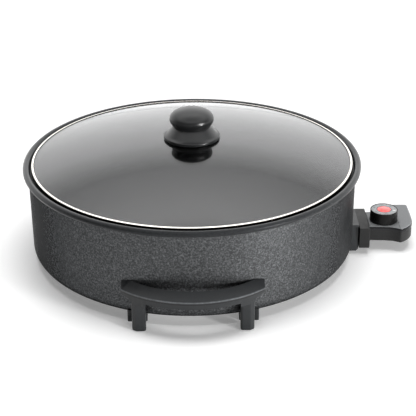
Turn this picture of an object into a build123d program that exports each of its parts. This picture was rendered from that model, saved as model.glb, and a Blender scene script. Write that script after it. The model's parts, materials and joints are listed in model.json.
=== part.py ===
from build123d import *
from math import asin, cos, degrees, pi, radians, sin, sqrt
import os

# Electric skillet: a round cast pan on two moulded handles with feet, a loose glass lid,
# and a plug-in temperature controller on the +X side.
# Frame: origin on the pan's axis at counter level, +Z up, front handle towards -Y.
# Sizes are in millimetres.

# ---------------------------------------------------------------- pan casting
rim_radius = 210.0              # outside of the rolled rim
rim_height = 120.0              # centre of the rolled rim above the counter
rim_bead_radius = 3.7
rim_lip_radius = 5.1            # rounded inner edge of the rim
rim_overhang = 6.2              # rim beyond the wall below it
wall_draft = 0.8                # the wall narrows this much towards its foot
wall_thickness = 3.0
outer_corner_radius = 11.0
inner_corner_radius = 14.0
underside_height = 9.5          # foot ring above the counter
base_hollow_depth = 14.5        # room for the heating element below the cooking floor
base_thickness = 4.0
foot_ring_width = 8.0           # flat of the foot ring, cover recess included
cover_recess_width = 3.0
cover_recess_depth = 2.0
lid_seat_depth = 6.7            # below the top of the rim
lid_seat_width = 4.8
lid_seat_lip = 1.5

# ---------------------------------------------------------------- heating element
element_ring_radius = 125.0
element_tube_radius = 4.0
element_drop = 4.5              # tube axis below the underside of the base
element_groove_gap = 0.08
element_rib_width = 13.0
element_rib_depth = 7.5
element_bend_radius = 16.0
terminal_spacing = 26.0
terminal_pin_radius = 2.4
terminal_pin_end_gap = 0.4      # to the closed end of its contact
terminal_pin_chamfer = 0.8
insulator_radius = 3.6
insulator_length = 8.0
sheath_setback = 15.0           # sheath ends this far inside the pan's wall

# ---------------------------------------------------------------- probe and its tube
probe_radius = 3.0
probe_tip_radius = 1.8
probe_wall = 0.7
probe_tube_gap = 0.4
probe_tube_wall = 0.9
probe_tube_setback = 9.0        # its closed end outside the element's rib
probe_tube_mouth_inset = 1.0    # mouth of the tube inside the face of the socket flange
probe_end_gap = 4.0             # between the probe's tip and the tube's closed end

# ---------------------------------------------------------------- base cover
cover_thickness = 0.8
cover_rim_gap = 0.4
cover_bead_radius = 70.0
cover_bead_width = 4.8
cover_bead_height = 1.2
cover_boss_inset = 29.0         # boss centres inside the foot ring
cover_boss_radius = 5.0
cover_boss_count = 4
cover_boss_angle = 45.0
vent_ring_radius = 100.0
vent_count = 12
vent_angle = 15.0
vent_length = 18.0
vent_width = 3.0

# ---------------------------------------------------------------- screws
screw_radius = 2.0
screw_head_radius = 3.8
screw_head_height = 2.4
screw_depth = 9.0               # thread engaged in the casting
screw_hole_gap = 0.3            # clearance holes
thread_gap = 0.03               # tapped holes
small_screw_radius = 1.4
small_screw_head_radius = 2.6
small_screw_head_height = 1.8
small_screw_depth = 7.0

# ---------------------------------------------------------------- handles with feet
handle_seat_gap = 0.25          # between the moulding and the pan
grip_reach = 23.3               # front of the grip beyond the rim
grip_outer_radius = 118.3       # of the grip's arc
grip_width = 14.5
grip_half_length = 81.3
grip_end_width = 11.0
grip_body_depth = 57.0          # from the grip's front back to inside the pan's wall
grip_spare_angle = 8.0          # the swept section runs on past the grip's ends
grip_top_height = 55.0
grip_top_fall = 7.0             # the top slopes down towards its outer edge
grip_bottom_height = 39.5
grip_lip = 0.8                  # the top stands proud of the skirt below it
grip_lip_height = 2.6
grip_wall = 2.8
grip_bevel = 2.2                # front corners at the ends of the grip
grip_back_bevel = 5.0           # corners next to the pan's wall
grip_end_rise = 3.5
grip_edge_radius = 1.0
leg_centre_x = 61.5
leg_width = 16.0
leg_depth = 9.5
leg_setback = 2.1               # a leg's flat front behind the skirt's curve
leg_corner_radius = 3.0
leg_tip_radius = 2.0
leg_arch_radius = 4.5
leg_shoulder_drop = 1.5         # the grip's body reaches this far down behind a leg
leg_web_thickness = 6.0
leg_web_lift = 4.0
rear_foot_centre_x = 64.2
rear_foot_width = 23.0
rear_foot_setback = 2.0         # behind the outer edge of the foot ring
rear_foot_depth = 22.0
rear_foot_radius = 2.0
foot_counterbore_depth = 4.6

# ---------------------------------------------------------------- socket on the pan
flange_reach = 0.2              # face of the flange beyond the rim
flange_top_half_width = 24.0
flange_bottom_half_width = 29.0
flange_bottom = 4.3
flange_top = 38.0
flange_chamfer = 3.2
flange_edge_radius = 1.2
flange_tongue_reach = 28.0      # under the foot ring, measured in from the flange face
socket_half_width = 18.5        # clear opening for the contact block
socket_half_height = 6.2
socket_wall = 1.7
socket_nose_length = 10.5
socket_screw_spacing = 41.0

# ---------------------------------------------------------------- controller
plug_gap = 0.6                  # collar to flange, and collar to nose
collar_length = 13.2
collar_half_width = 30.2
collar_bottom = 8.2
collar_top = 35.6
collar_back = 2.5
collar_edge_radius = 1.5
shell_length = 58.0             # from the collar to the far end
shell_bottom = 13.2
shell_top = 34.0
shell_parting = 28.4
shell_wall = 2.0
shell_step = 0.4                # the cover stands proud of the housing
shell_front_near = 19.3         # the outline seen from above, measured from the collar
shell_front_taper = 1.2
shell_front_far = 27.4
shell_back_near = 23.5
shell_back_far = 45.0
shell_flare_x = 20.0            # where the front edge starts to flare out
shell_waist_x = 39.5            # where it has flared out
shell_back_corner_x = 38.0
shell_nose_y = 0.0              # where the rounded nose meets the far end
shell_nose_radius = 32.0
shell_end_bulge = 0.4
shell_corner_radius = 3.5
shell_edge_radius = 2.4
shell_bottom_radius = 2.0
contact_block_gap = 0.5
contact_gap = 0.08              # terminal pin in its contact
contact_wall = 0.8
contact_tail_radius = 1.5
contact_tail_length = 6.0
probe_back_depth = 12.0         # probe beyond the collar's back face
probe_rod_gap = 0.2
probe_rod_reach = 2.0
ferrule_width = 16.4
ferrule_height = 7.8
ferrule_length = 5.0
boss_radius = 3.4
near_boss_x = 12.0              # pair of screws next to the collar
near_boss_front_y = -14.6
near_boss_back_y = 19.0
back_boss_x = 28.5
back_boss_y = 33.5
end_boss_inset = 9.0
end_boss_y = -8.0
cover_thread_length = 3.2       # housing screws' hold in the cover
small_screw_recess = 2.2
screw_end_gap = 0.4

# ---------------------------------------------------------------- thermostat and wiring
frame_thickness = 1.0
frame_length = 33.0
frame_width = 12.0
frame_height = 9.8
stack_inset = 4.0               # rivet's axis from the far end of the frame
spacer_radius = 3.8
rivet_radius = 1.5
rivet_head_radius = 2.6
spring_thickness = 0.4
spring_width = 6.0
lower_spring_lift = 2.8         # above the frame
spring_spacing = 3.0
top_spacer_height = 2.0
contact_opening = 0.2
button_radius = 1.6
button_inset = 0.5              # from the end of the upper spring
follower_radius = 1.5
follower_height = 4.6
cam_long_radius = 6.2
cam_short_radius = 5.2
cam_height = 1.6
cam_gap = 0.4
lamp_radius = 2.4
lamp_tip_radius = 1.9
lamp_offset = 9.5               # pilot lamp's axis from the dial's axis
lamp_length = 14.0
lamp_drop = 8.0                 # lamp's foot below the top of the cover
terminal_block_length = 16.0
terminal_block_width = 12.0
terminal_block_height = 9.0
terminal_block_radius = 1.0
terminal_block_inset = 13.0     # its middle from the far end of the shell
terminal_block_y = 16.0
terminal_pitch = 5.0
terminal_count = 3
terminal_screw_depth = 4.0
terminal_screw_head = 2.2
wire_bore_radius = 1.4
wire_bore_height = 3.2
clamp_y = 34.0
clamp_width = 5.0
clamp_length = 16.0
clamp_height = 5.5
clamp_edge_radius = 1.0
clamp_screw_spacing = 11.4
clamp_screw_depth = 3.6

# ---------------------------------------------------------------- dial
dial_offset = 20.6              # dial axis from the collar's back face
dial_radius = 17.5
dial_height = 15.0
dial_well_depth = 0.8           # shallow well in the shell below the dial, open in front
dial_well_gap = 0.6
dial_float = 0.5                # over the floor of the well
dial_rim = 1.2
dial_recess = 1.0
dial_wall = 1.8
dial_hub_radius = 5.5
dial_edge_radius = 0.6
scale_thickness = 0.6
lens_radius = 8.4
lens_rise = 0.7
light_hole_radius = 1.3         # they let the pilot lamp shine up into the lens
light_hole_count = 6
spindle_radius = 3.0
spindle_bore = 1.2
spindle_gap = 0.05
spindle_bottom = 25.0
clip_radius = 5.2
clip_thickness = 0.8

# ---------------------------------------------------------------- cord inlet (no cord)
cord_bore_radius = 3.75
grommet_radius = 5.0
grommet_flange_radius = 6.0
grommet_length = 9.0
grommet_flange_thickness = 1.5
cord_inlet_inset = 12.5         # from the far end of the shell

# ---------------------------------------------------------------- lid
lid_play = 1.8                  # between the band and the mouth of the pan
lid_band_width = 2.8
lid_band_height = 7.2
lid_band_thickness = 0.8
lid_seat_gap = 0.05
glass_thickness = 4.0
glass_edge_gap = 0.2
glass_rise = 27.6
glass_hole_radius = 4.0
knob_seal_inner_radius = 25.0
knob_seal_radius = 31.0
knob_seal_thickness = 0.4       # at its inner edge
knob_base_radius = 34.7
knob_base_height = 15.0
knob_base_lip = 1.4
knob_base_edge_radius = 3.0
knob_base_hollow_depth = 1.5
knob_waist_radius = 23.2
knob_cap_radius = 27.4
knob_cap_height = 22.0
knob_cap_belly = 9.4            # widest place above the cap's underside
knob_insert_radius = 3.6
knob_insert_length = 10.0
washer_radius = 12.0
washer_thickness = 1.2
lower_seal_radius = 13.0
lower_seal_thickness = 1.4
seal_gap = 0.05                 # between a seal and the curved glass

# ---------------------------------------------------------------- places that follow
rim_top = rim_height + rim_bead_radius
wall_top_radius = rim_radius - rim_overhang
wall_bottom_radius = wall_top_radius - wall_draft
mouth_radius = rim_radius - rim_bead_radius - rim_lip_radius
base_underside = underside_height + base_hollow_depth
cooking_floor = base_underside + base_thickness
corner_start = wall_bottom_radius - outer_corner_radius
corner_top = underside_height + outer_corner_radius
foot_ring_inner = corner_start - foot_ring_width
cover_recess_radius = foot_ring_inner + cover_recess_width
cover_seat = underside_height + cover_recess_depth
cover_boss_ring_radius = foot_ring_inner - cover_boss_inset
foot_screw_ring_radius = (cover_recess_radius + corner_start) / 2
lid_seat = rim_top - lid_seat_depth
lid_seat_inner = mouth_radius - lid_seat_width
element_z = base_underside - element_drop
sheath_end_x = wall_bottom_radius - sheath_setback
half_spacing = terminal_spacing / 2
probe_tube_bore = probe_radius + probe_tube_gap
probe_tube_radius = probe_tube_bore + probe_tube_wall
flange_face_x = rim_radius + flange_reach
probe_tube_mouth_x = flange_face_x - probe_tube_mouth_inset
probe_tube_end_x = element_ring_radius + element_rib_width / 2 + probe_tube_setback
probe_tube_length = probe_tube_mouth_x - probe_tube_end_x
nose_face_x = flange_face_x + socket_nose_length
collar_x = flange_face_x + plug_gap
shell_x = collar_x + collar_length
terminal_pin_end_x = shell_x - contact_wall - terminal_pin_end_gap
shell_end_x = shell_x + shell_length
dial_x = shell_x + dial_offset
cord_inlet_x = shell_end_x - cord_inlet_inset
shell_floor = shell_bottom + shell_wall
cord_inlet_z = (shell_bottom + shell_parting) / 2
dial_bottom = shell_top - dial_well_depth + dial_float
dial_top = dial_bottom + dial_height
block_half_width = socket_half_width - contact_block_gap
block_half_height = socket_half_height - contact_block_gap
block_x = flange_face_x + 2 * plug_gap
contact_x = block_x + plug_gap
contact_bore = terminal_pin_radius + contact_gap
contact_radius = contact_bore + contact_wall
probe_tip_x = probe_tube_end_x + probe_tube_wall + probe_end_gap
probe_back_x = shell_x + probe_back_depth
ferrule_x = shell_x + shell_step + shell_wall
frame_x = ferrule_x + ferrule_length
frame_top = shell_floor + frame_thickness
stack_x = frame_x + frame_length - stack_inset
lower_spring_z = frame_top + lower_spring_lift
upper_spring_z = lower_spring_z + spring_spacing
stack_top = upper_spring_z + spring_thickness + top_spacer_height
lower_spring_x = probe_back_x + probe_rod_reach + cam_gap
upper_spring_x = dial_x - button_radius
lamp_bottom = shell_top - lamp_drop
terminal_block_centre = (shell_end_x - terminal_block_inset, terminal_block_y)
boss_places = [
    (shell_x + near_boss_x, near_boss_front_y),
    (shell_x + near_boss_x, near_boss_back_y),
    (shell_x + back_boss_x, back_boss_y),
    (shell_end_x - end_boss_inset, end_boss_y),
]
grip_centre_y = grip_outer_radius - rim_radius - grip_reach
grip_inner_radius = grip_outer_radius - grip_width
rear_foot_middle_y = rear_foot_setback - corner_start + rear_foot_depth / 2
foot_screw_y = -sqrt(foot_screw_ring_radius**2 - rear_foot_centre_x**2)
socket_screw_x = sqrt(foot_screw_ring_radius**2 - (socket_screw_spacing / 2) ** 2)


def pan_envelope(gap):
    """The pan filled solid and grown by a gap, to shape what seats against its skin."""
    with BuildPart() as envelope:
        with BuildSketch(Plane.XZ):
            with BuildLine():
                low = underside_height - gap
                bottom = Line((0, low), (corner_start, low))
                corner = ThreePointArc(
                    bottom @ 1,
                    (
                        corner_start + (outer_corner_radius + gap) * sin(pi / 4),
                        corner_top - (outer_corner_radius + gap) * cos(pi / 4),
                    ),
                    (wall_bottom_radius + gap, corner_top),
                )
                side = Line(corner @ 1, (wall_top_radius + gap, rim_height))
                Polyline(side @ 1, (0, rim_height), bottom @ 0)
            make_face()
        revolve(axis=Axis.Z)
    return envelope.part


def screw(radius, length, head_radius, head_height):
    """A pan-head screw that points up, its head's seat on the XY plane."""
    crown = 0.35 * head_height
    crown_radius = (head_radius**2 + crown**2) / (2 * crown)
    with BuildPart() as body:
        with BuildSketch(Plane.XZ):
            with BuildLine():
                shank = Polyline(
                    (0, -head_height),
                    (0, length),
                    (radius, length),
                    (radius, 0),
                    (head_radius, 0),
                    (head_radius, crown - head_height),
                )
                RadiusArc(shank @ 1, shank @ 0, crown_radius)
            make_face()
        revolve(axis=Axis.Z)
    return body.part


# ================================================================ heating element
def element_path():
    """Lead, bend, ring, bend and lead of the tubular element, all at one height."""
    bend_y = half_spacing + element_bend_radius
    reach = element_ring_radius + element_bend_radius
    bend_x = sqrt(reach**2 - bend_y**2)
    ring_gap = degrees(asin(bend_y / reach))
    bend_angle = 90 - ring_gap
    with BuildLine(Plane.XY.offset(element_z)) as path:
        lead = Line((sheath_end_x, -half_spacing), (bend_x, -half_spacing))
        first = JernArc(lead @ 1, lead % 1, element_bend_radius, bend_angle)
        ring = JernArc(first @ 1, first % 1, element_ring_radius, 2 * ring_gap - 360)
        second = JernArc(ring @ 1, ring % 1, element_bend_radius, bend_angle)
        Line(second @ 1, (sheath_end_x, half_spacing))
    return path


def element_tube(radius):
    """A round bar that follows the element's path."""
    path = element_path()
    with BuildPart() as tube:
        with BuildSketch(Plane(origin=path.line @ 0, z_dir=path.line % 0)):
            Circle(radius)
        sweep(path=path.line)
    return tube.part


with BuildPart() as heating_element:
    add(element_tube(element_tube_radius))

with BuildPart() as element_insulators:
    for side in (-1, 1):
        with BuildSketch(Plane.YZ.offset(sheath_end_x)):
            with Locations((side * half_spacing, element_z)):
                Circle(insulator_radius)
                Circle(terminal_pin_radius + thread_gap, mode=Mode.SUBTRACT)
    extrude(amount=insulator_length)

with BuildPart() as terminal_pins:
    for side in (-1, 1):
        with BuildSketch(Plane.YZ.offset(sheath_end_x)):
            with Locations((side * half_spacing, element_z)):
                Circle(terminal_pin_radius)
    extrude(amount=terminal_pin_end_x - sheath_end_x)
    tips = terminal_pins.faces().filter_by(Axis.X).group_by(Axis.X)[-1]
    chamfer(tips.edges(), terminal_pin_chamfer)

# ================================================================ pan body
with BuildPart() as pan_body:
    with BuildSketch(Plane.XZ):
        with BuildLine():
            hollow = Polyline(
                (0, base_underside),
                (foot_ring_inner, base_underside),
                (foot_ring_inner, cover_seat),
                (cover_recess_radius, cover_seat),
                (cover_recess_radius, underside_height),
                (corner_start, underside_height),
            )
            corner = RadiusArc(
                hollow @ 1, (wall_bottom_radius, corner_top), -outer_corner_radius
            )
            bead_x = rim_radius - rim_bead_radius
            crease = sqrt(rim_bead_radius**2 - (bead_x - wall_top_radius) ** 2)
            skin = Line(corner @ 1, (wall_top_radius, rim_height - crease))
            bead = ThreePointArc(skin @ 1, (rim_radius, rim_height), (bead_x, rim_top))
            lip = JernArc(bead @ 1, (-1, 0), rim_lip_radius, 90)
            inner_top = wall_top_radius - wall_thickness
            seat = Polyline(
                lip @ 1,
                (mouth_radius, lid_seat),
                (lid_seat_inner, lid_seat),
                (lid_seat_inner, lid_seat - lid_seat_lip),
                (inner_top, lid_seat - lid_seat_lip - lid_seat_width),
            )
            inner_bottom = wall_bottom_radius - wall_thickness
            inside = Line(seat @ 1, (inner_bottom, cooking_floor + inner_corner_radius))
            floor_corner = RadiusArc(
                inside @ 1,
                (inner_bottom - inner_corner_radius, cooking_floor),
                inner_corner_radius,
            )
            Polyline(floor_corner @ 1, (0, cooking_floor), hollow @ 0)
        make_face()
    revolve(axis=Axis.Z)
    # rib that holds the heating element, and bosses for the base cover
    with BuildSketch(Plane.XY.offset(base_underside)):
        Circle(element_ring_radius + element_rib_width / 2)
        Circle(element_ring_radius - element_rib_width / 2, mode=Mode.SUBTRACT)
    extrude(amount=-element_rib_depth)
    with BuildSketch(Plane.XY.offset(base_underside)):
        with PolarLocations(cover_boss_ring_radius, cover_boss_count, start_angle=cover_boss_angle):
            Circle(cover_boss_radius)
    extrude(amount=cover_seat - base_underside)
    add(element_tube(element_tube_radius + element_groove_gap), mode=Mode.SUBTRACT)
    # window through the foot ring for the terminals and the probe tube
    with BuildSketch(Plane.YZ.offset(wall_top_radius + wall_thickness)):
        with Locations((0, (base_underside + element_z - socket_half_height) / 2)):
            Rectangle(2 * socket_half_width, base_underside - element_z + socket_half_height)
    extrude(amount=foot_ring_inner - wall_top_radius - 2 * wall_thickness, mode=Mode.SUBTRACT)
    # tapped holes: base cover, handles and socket
    with BuildSketch(Plane.XY.offset(cover_seat)):
        with PolarLocations(cover_boss_ring_radius, cover_boss_count, start_angle=cover_boss_angle):
            Circle(screw_radius + thread_gap)
    extrude(amount=screw_depth, mode=Mode.SUBTRACT)
    with BuildSketch(Plane.XY.offset(underside_height)):
        for end in (-1, 1):
            with Locations((0, end * foot_screw_y)):
                with GridLocations(2 * rear_foot_centre_x, 0, 2, 1):
                    Circle(screw_radius + thread_gap)
    extrude(amount=screw_depth, mode=Mode.SUBTRACT)
    with BuildSketch(Plane.XY.offset(underside_height)):
        with Locations((socket_screw_x, 0)):
            with GridLocations(0, socket_screw_spacing, 1, 2):
                Circle(small_screw_radius + thread_gap)
    extrude(amount=small_screw_depth, mode=Mode.SUBTRACT)

# ================================================================ base cover
with BuildPart() as base_cover:
    with BuildSketch(Plane.XY.offset(cover_seat)):
        Circle(cover_recess_radius - cover_rim_gap)
        with PolarLocations(cover_boss_ring_radius, cover_boss_count, start_angle=cover_boss_angle):
            Circle(screw_radius + screw_hole_gap, mode=Mode.SUBTRACT)
        with PolarLocations(vent_ring_radius, vent_count, start_angle=vent_angle):
            SlotOverall(vent_length, vent_width, rotation=90, mode=Mode.SUBTRACT)
    extrude(amount=-cover_thickness)
    # stiffening bead pressed up into the sheet
    with BuildSketch(Plane.XZ):
        with Locations((cover_bead_radius, cover_seat)):
            Rectangle(cover_bead_width, cover_bead_height, align=(Align.CENTER, Align.MIN))
    revolve(axis=Axis.Z)

with BuildPart() as base_cover_screws:
    cover_screw = screw(screw_radius, screw_depth, screw_head_radius, screw_head_height)
    with Locations((0, 0, cover_seat - cover_thickness)):
        with PolarLocations(cover_boss_ring_radius, cover_boss_count, start_angle=cover_boss_angle):
            add(cover_screw)

# ================================================================ probe tube and socket
with BuildPart() as probe_tube:
    with BuildSketch(Plane.YZ.offset(probe_tube_end_x)):
        with Locations((0, element_z)):
            Circle(probe_tube_radius)
    extrude(amount=probe_tube_length)
    with BuildSketch(Plane.YZ.offset(probe_tube_mouth_x)):
        with Locations((0, element_z)):
            Circle(probe_tube_bore)
    extrude(amount=probe_tube_wall - probe_tube_length, mode=Mode.SUBTRACT)
    mouth = probe_tube.faces().sort_by(Axis.X)[-1].inner_wires()[0]
    chamfer(mouth.edges(), probe_tube_wall / 3)

with BuildPart() as socket_housing:
    # flange, wider at its foot, with a tongue under the foot ring
    with BuildSketch(Plane.YZ.offset(flange_face_x)):
        with BuildLine():
            Polyline(
                (-flange_bottom_half_width, flange_bottom),
                (flange_bottom_half_width, flange_bottom),
                (flange_top_half_width, flange_top),
                (-flange_top_half_width, flange_top),
                close=True,
            )
        make_face()
    extrude(amount=-flange_tongue_reach)
    lower_edge = socket_housing.edges().filter_by(Axis.Y).group_by(Axis.Z)[0].sort_by(Axis.X)[-1]
    chamfer(lower_edge, flange_chamfer)
    face_sides = socket_housing.faces().sort_by(Axis.X)[-1].edges().sort_by(Axis.Y)
    fillet([face_sides[0], face_sides[-1]], flange_edge_radius)
    add(pan_envelope(handle_seat_gap), mode=Mode.SUBTRACT)
    # nose that the controller's collar slips over
    with BuildSketch(Plane.YZ.offset(flange_face_x)):
        with Locations((0, element_z)):
            RectangleRounded(
                2 * (socket_half_width + socket_wall),
                2 * (socket_half_height + socket_wall),
                socket_wall,
            )
    extrude(amount=socket_nose_length)
    with BuildSketch(Plane.YZ.offset(nose_face_x)):
        with Locations((0, element_z)):
            Rectangle(2 * socket_half_width, 2 * socket_half_height)
    extrude(amount=-socket_nose_length - flange_tongue_reach, mode=Mode.SUBTRACT)
    with BuildSketch(Plane.XY.offset(flange_bottom)):
        with Locations((socket_screw_x, 0)):
            with GridLocations(0, socket_screw_spacing, 1, 2):
                Circle(small_screw_radius + screw_hole_gap)
    extrude(amount=underside_height, mode=Mode.SUBTRACT)

with BuildPart() as socket_screws:
    socket_screw = screw(
        small_screw_radius,
        small_screw_depth + underside_height - handle_seat_gap - flange_bottom,
        small_screw_head_radius,
        small_screw_head_height,
    )
    with Locations((socket_screw_x, 0, flange_bottom)):
        with GridLocations(0, socket_screw_spacing, 1, 2):
            add(socket_screw)

# ================================================================ handles
grip_half_angle = degrees(asin(grip_half_length / grip_outer_radius)) + grip_spare_angle
grip_slope = grip_top_fall / (grip_outer_radius - grip_inner_radius)
grip_axis = Axis((0, grip_centre_y, 0), (0, 0, 1))
skirt_radius = grip_outer_radius - grip_lip
leg_inner_radius = skirt_radius - leg_depth
leg_shoulder_height = grip_bottom_height - leg_shoulder_drop
arm_inner_x = grip_half_length - grip_end_width


def grip_plane(half_angle):
    """Upright plane through the axis of the grip's arc, at the start of a sweep."""
    angle = radians(-90 - half_angle)
    return Plane(
        origin=(0, grip_centre_y, 0),
        x_dir=(cos(angle), sin(angle), 0),
        z_dir=(sin(angle), -cos(angle), 0),
    )


def grip_front_y(x, radius):
    """Where a circle about the grip's axis lies in front of the pan, at a place along X."""
    return grip_centre_y - sqrt(radius**2 - x**2)


leg_middle_y = grip_front_y(leg_centre_x, skirt_radius) + leg_setback + leg_depth / 2

with BuildPart() as handle:
    # section of the grip and its skirt, swept round the grip's axis
    with BuildSketch(grip_plane(grip_half_angle)) as section:
        with BuildLine():
            lip_top = grip_top_height - grip_top_fall
            lip_bottom = lip_top - grip_lip_height
            body_radius = grip_outer_radius - grip_body_depth
            Polyline(
                (body_radius, leg_shoulder_height),
                (leg_inner_radius, leg_shoulder_height),
                (leg_inner_radius, grip_bottom_height - leg_arch_radius),
                (skirt_radius, grip_bottom_height - leg_arch_radius),
                (skirt_radius, lip_bottom),
                (grip_outer_radius, lip_bottom),
                (grip_outer_radius, lip_top),
                (grip_inner_radius, grip_top_height),
                (body_radius, grip_top_height),
                close=True,
            )
        make_face()
        lip_corner = section.vertices().sort_by(Axis.Z)
        lip_corner = [v for v in lip_corner if abs(v.Z - lip_top) < 0.01]
        fillet(lip_corner, grip_edge_radius)
    revolve(axis=grip_axis, revolution_arc=2 * grip_half_angle)
    # seen from above: the ends run back to the pan's wall and are bevelled in front
    with BuildSketch() as grip_plan:
        with BuildLine():
            front_x = grip_half_length - 2 * grip_bevel
            bevel_y = grip_bevel + grip_front_y(grip_half_length - grip_bevel, grip_outer_radius)
            back_x = grip_half_length - grip_back_bevel
            wall_y = -sqrt(wall_top_radius**2 - grip_half_length**2)
            Polyline(
                (-back_x, 0),
                (-back_x, wall_y),
                (-grip_half_length, wall_y - grip_back_bevel),
                (-grip_half_length, bevel_y),
                (-front_x, bevel_y - 2 * grip_bevel),
                (-front_x, grip_centre_y - 2 * grip_outer_radius),
                (front_x, grip_centre_y - 2 * grip_outer_radius),
                (front_x, bevel_y - 2 * grip_bevel),
                (grip_half_length, bevel_y),
                (grip_half_length, wall_y - grip_back_bevel),
                (back_x, wall_y),
                (back_x, 0),
                close=True,
            )
        make_face()
        with Locations((0, grip_centre_y)):
            Circle(grip_inner_radius, mode=Mode.SUBTRACT)
        for end in (-1, 1):
            arm_front_y = grip_front_y(arm_inner_x, grip_inner_radius) - grip_wall
            with Locations((end * (grip_half_length - grip_end_width / 2), arm_front_y)):
                Rectangle(grip_end_width, 2 * leg_width, align=(Align.CENTER, Align.MIN))
    extrude(amount=grip_top_height + 1, mode=Mode.INTERSECT)
    # seen from the front: the skirt's ends rise a little, and arches lead into the legs
    with BuildSketch(Plane.XZ) as elevation:
        with BuildLine():
            taper_x = leg_centre_x + leg_width / 2
            Polyline(
                (-grip_half_length, 2 * grip_top_height),
                (-grip_half_length, grip_bottom_height + grip_end_rise),
                (-taper_x, grip_bottom_height),
                (taper_x, grip_bottom_height),
                (grip_half_length, grip_bottom_height + grip_end_rise),
                (grip_half_length, 2 * grip_top_height),
                close=True,
            )
        make_face()
        for end in (-1, 1):
            with Locations((end * leg_centre_x, 0)):
                Rectangle(leg_width, grip_bottom_height, align=(Align.CENTER, Align.MIN))
        joins = elevation.vertices().filter_by(lambda v: abs(v.Z - grip_bottom_height) < 0.01)
        fillet(joins.filter_by(lambda v: abs(v.X) < leg_centre_x), leg_arch_radius)
    extrude(amount=2 * grip_outer_radius - grip_centre_y, mode=Mode.INTERSECT)
    with BuildSketch() as leg_plan:
        with Locations((0, leg_middle_y)):
            with GridLocations(2 * leg_centre_x, 0, 2, 1):
                Rectangle(leg_width, leg_depth)
        with Locations((0, grip_centre_y)):
            Circle(skirt_radius, mode=Mode.INTERSECT)
        fillet(leg_plan.vertices(), leg_corner_radius)
    extrude(amount=grip_bottom_height - leg_arch_radius)
    fillet(handle.faces().group_by(Axis.Z)[0].edges(), leg_tip_radius)
    # webs tie each leg to a wide rear foot under the pan's foot ring
    with BuildSketch(Plane.XY.offset(leg_web_lift)):
        with Locations((0, leg_middle_y)):
            with GridLocations(2 * leg_centre_x, 0, 2, 1):
                Rectangle(
                    leg_web_thickness,
                    rear_foot_middle_y - leg_middle_y,
                    align=(Align.CENTER, Align.MIN),
                )
    extrude(amount=leg_shoulder_height - leg_web_lift)
    with BuildSketch():
        with Locations((0, rear_foot_middle_y)):
            with GridLocations(2 * rear_foot_centre_x, 0, 2, 1):
                RectangleRounded(rear_foot_width, rear_foot_depth, rear_foot_radius)
    extrude(amount=underside_height + outer_corner_radius / 2)
    add(pan_envelope(handle_seat_gap), mode=Mode.SUBTRACT)
    # the grip is hollow underneath
    inner_leg_x = leg_centre_x - leg_width / 2 - leg_arch_radius
    hollow_half_angle = degrees(asin(inner_leg_x / grip_outer_radius))
    with BuildSketch(grip_plane(hollow_half_angle)):
        with BuildLine():
            inner = grip_inner_radius + grip_wall
            outer = skirt_radius - grip_wall
            roof = grip_top_height - grip_wall
            Polyline(
                (inner, 0),
                (inner, roof),
                (outer, roof - grip_slope * (outer - inner)),
                (outer, 0),
                close=True,
            )
        make_face()
    revolve(axis=grip_axis, revolution_arc=2 * hollow_half_angle, mode=Mode.SUBTRACT)
    # screws come up through the rear feet into the foot ring
    screw_x = rear_foot_centre_x
    with Locations((-screw_x, foot_screw_y, 0), (screw_x, foot_screw_y, 0)):
        with Locations(Plane.XY.rotated((180, 0, 0))):
            CounterBoreHole(
                screw_radius + screw_hole_gap,
                screw_head_radius + screw_hole_gap,
                foot_counterbore_depth,
            )

foot_screw = screw(
    screw_radius,
    underside_height - foot_counterbore_depth + screw_depth - screw_end_gap,
    screw_head_radius,
    screw_head_height,
)
with BuildPart() as front_handle:
    add(handle.part)
with BuildPart() as rear_handle:
    add(handle.part, rotation=(0, 0, 180))
with BuildPart() as front_handle_screws:
    with Locations((0, foot_screw_y, foot_counterbore_depth)):
        with GridLocations(2 * rear_foot_centre_x, 0, 2, 1):
            add(foot_screw)
with BuildPart() as rear_handle_screws:
    add(front_handle_screws.part, rotation=(0, 0, 180))

# ================================================================ lid
lid_band_radius = mouth_radius - lid_play
band_bottom = lid_seat + lid_seat_gap
band_top = band_bottom + lid_band_height
band_inner = lid_band_radius - lid_band_width
glass_radius = lid_band_radius - lid_band_thickness - glass_edge_gap
glass_edge_top = band_top - lid_band_thickness
dome_radius = (band_inner**2 + glass_rise**2) / (2 * glass_rise)
dome_centre = glass_edge_top + glass_rise - dome_radius
glass_top = glass_edge_top + glass_rise


def dome_height(radius, depth):
    """Height of the dome at a radius, a depth below its outer face."""
    return dome_centre + sqrt((dome_radius - depth) ** 2 - radius**2)


with BuildPart() as lid_glass:
    with BuildSketch(Plane.XZ):
        with BuildLine():
            hole = Line(
                (glass_hole_radius, dome_height(glass_hole_radius, glass_thickness)),
                (glass_hole_radius, dome_height(glass_hole_radius, 0)),
            )
            middle = glass_radius / 2
            outer = ThreePointArc(
                hole @ 1,
                (middle, dome_height(middle, 0)),
                (glass_radius, dome_height(glass_radius, 0)),
            )
            edge = Line(outer @ 1, (glass_radius, dome_height(glass_radius, glass_thickness)))
            ThreePointArc(edge @ 1, (middle, dome_height(middle, glass_thickness)), hole @ 0)
        make_face()
    revolve(axis=Axis.Z)

with BuildPart() as lid_band:
    with BuildSketch(Plane.XZ) as band_section:
        with BuildLine():
            lip_drop = dome_height(band_inner, 0) - dome_height(glass_radius, 0)
            Polyline(
                (band_inner, band_bottom),
                (lid_band_radius, band_bottom),
                (lid_band_radius, band_top - lip_drop),
                (band_inner, band_top),
                (band_inner, glass_edge_top),
                (lid_band_radius - lid_band_thickness, glass_edge_top - lip_drop),
                (lid_band_radius - lid_band_thickness, band_bottom + lid_band_thickness),
                (band_inner, band_bottom + lid_band_thickness),
                close=True,
            )
        make_face()
        rolled = band_section.vertices().filter_by(lambda v: v.X > lid_band_radius - 0.01)
        fillet(rolled, lid_band_thickness / 2)
    revolve(axis=Axis.Z)

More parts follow.
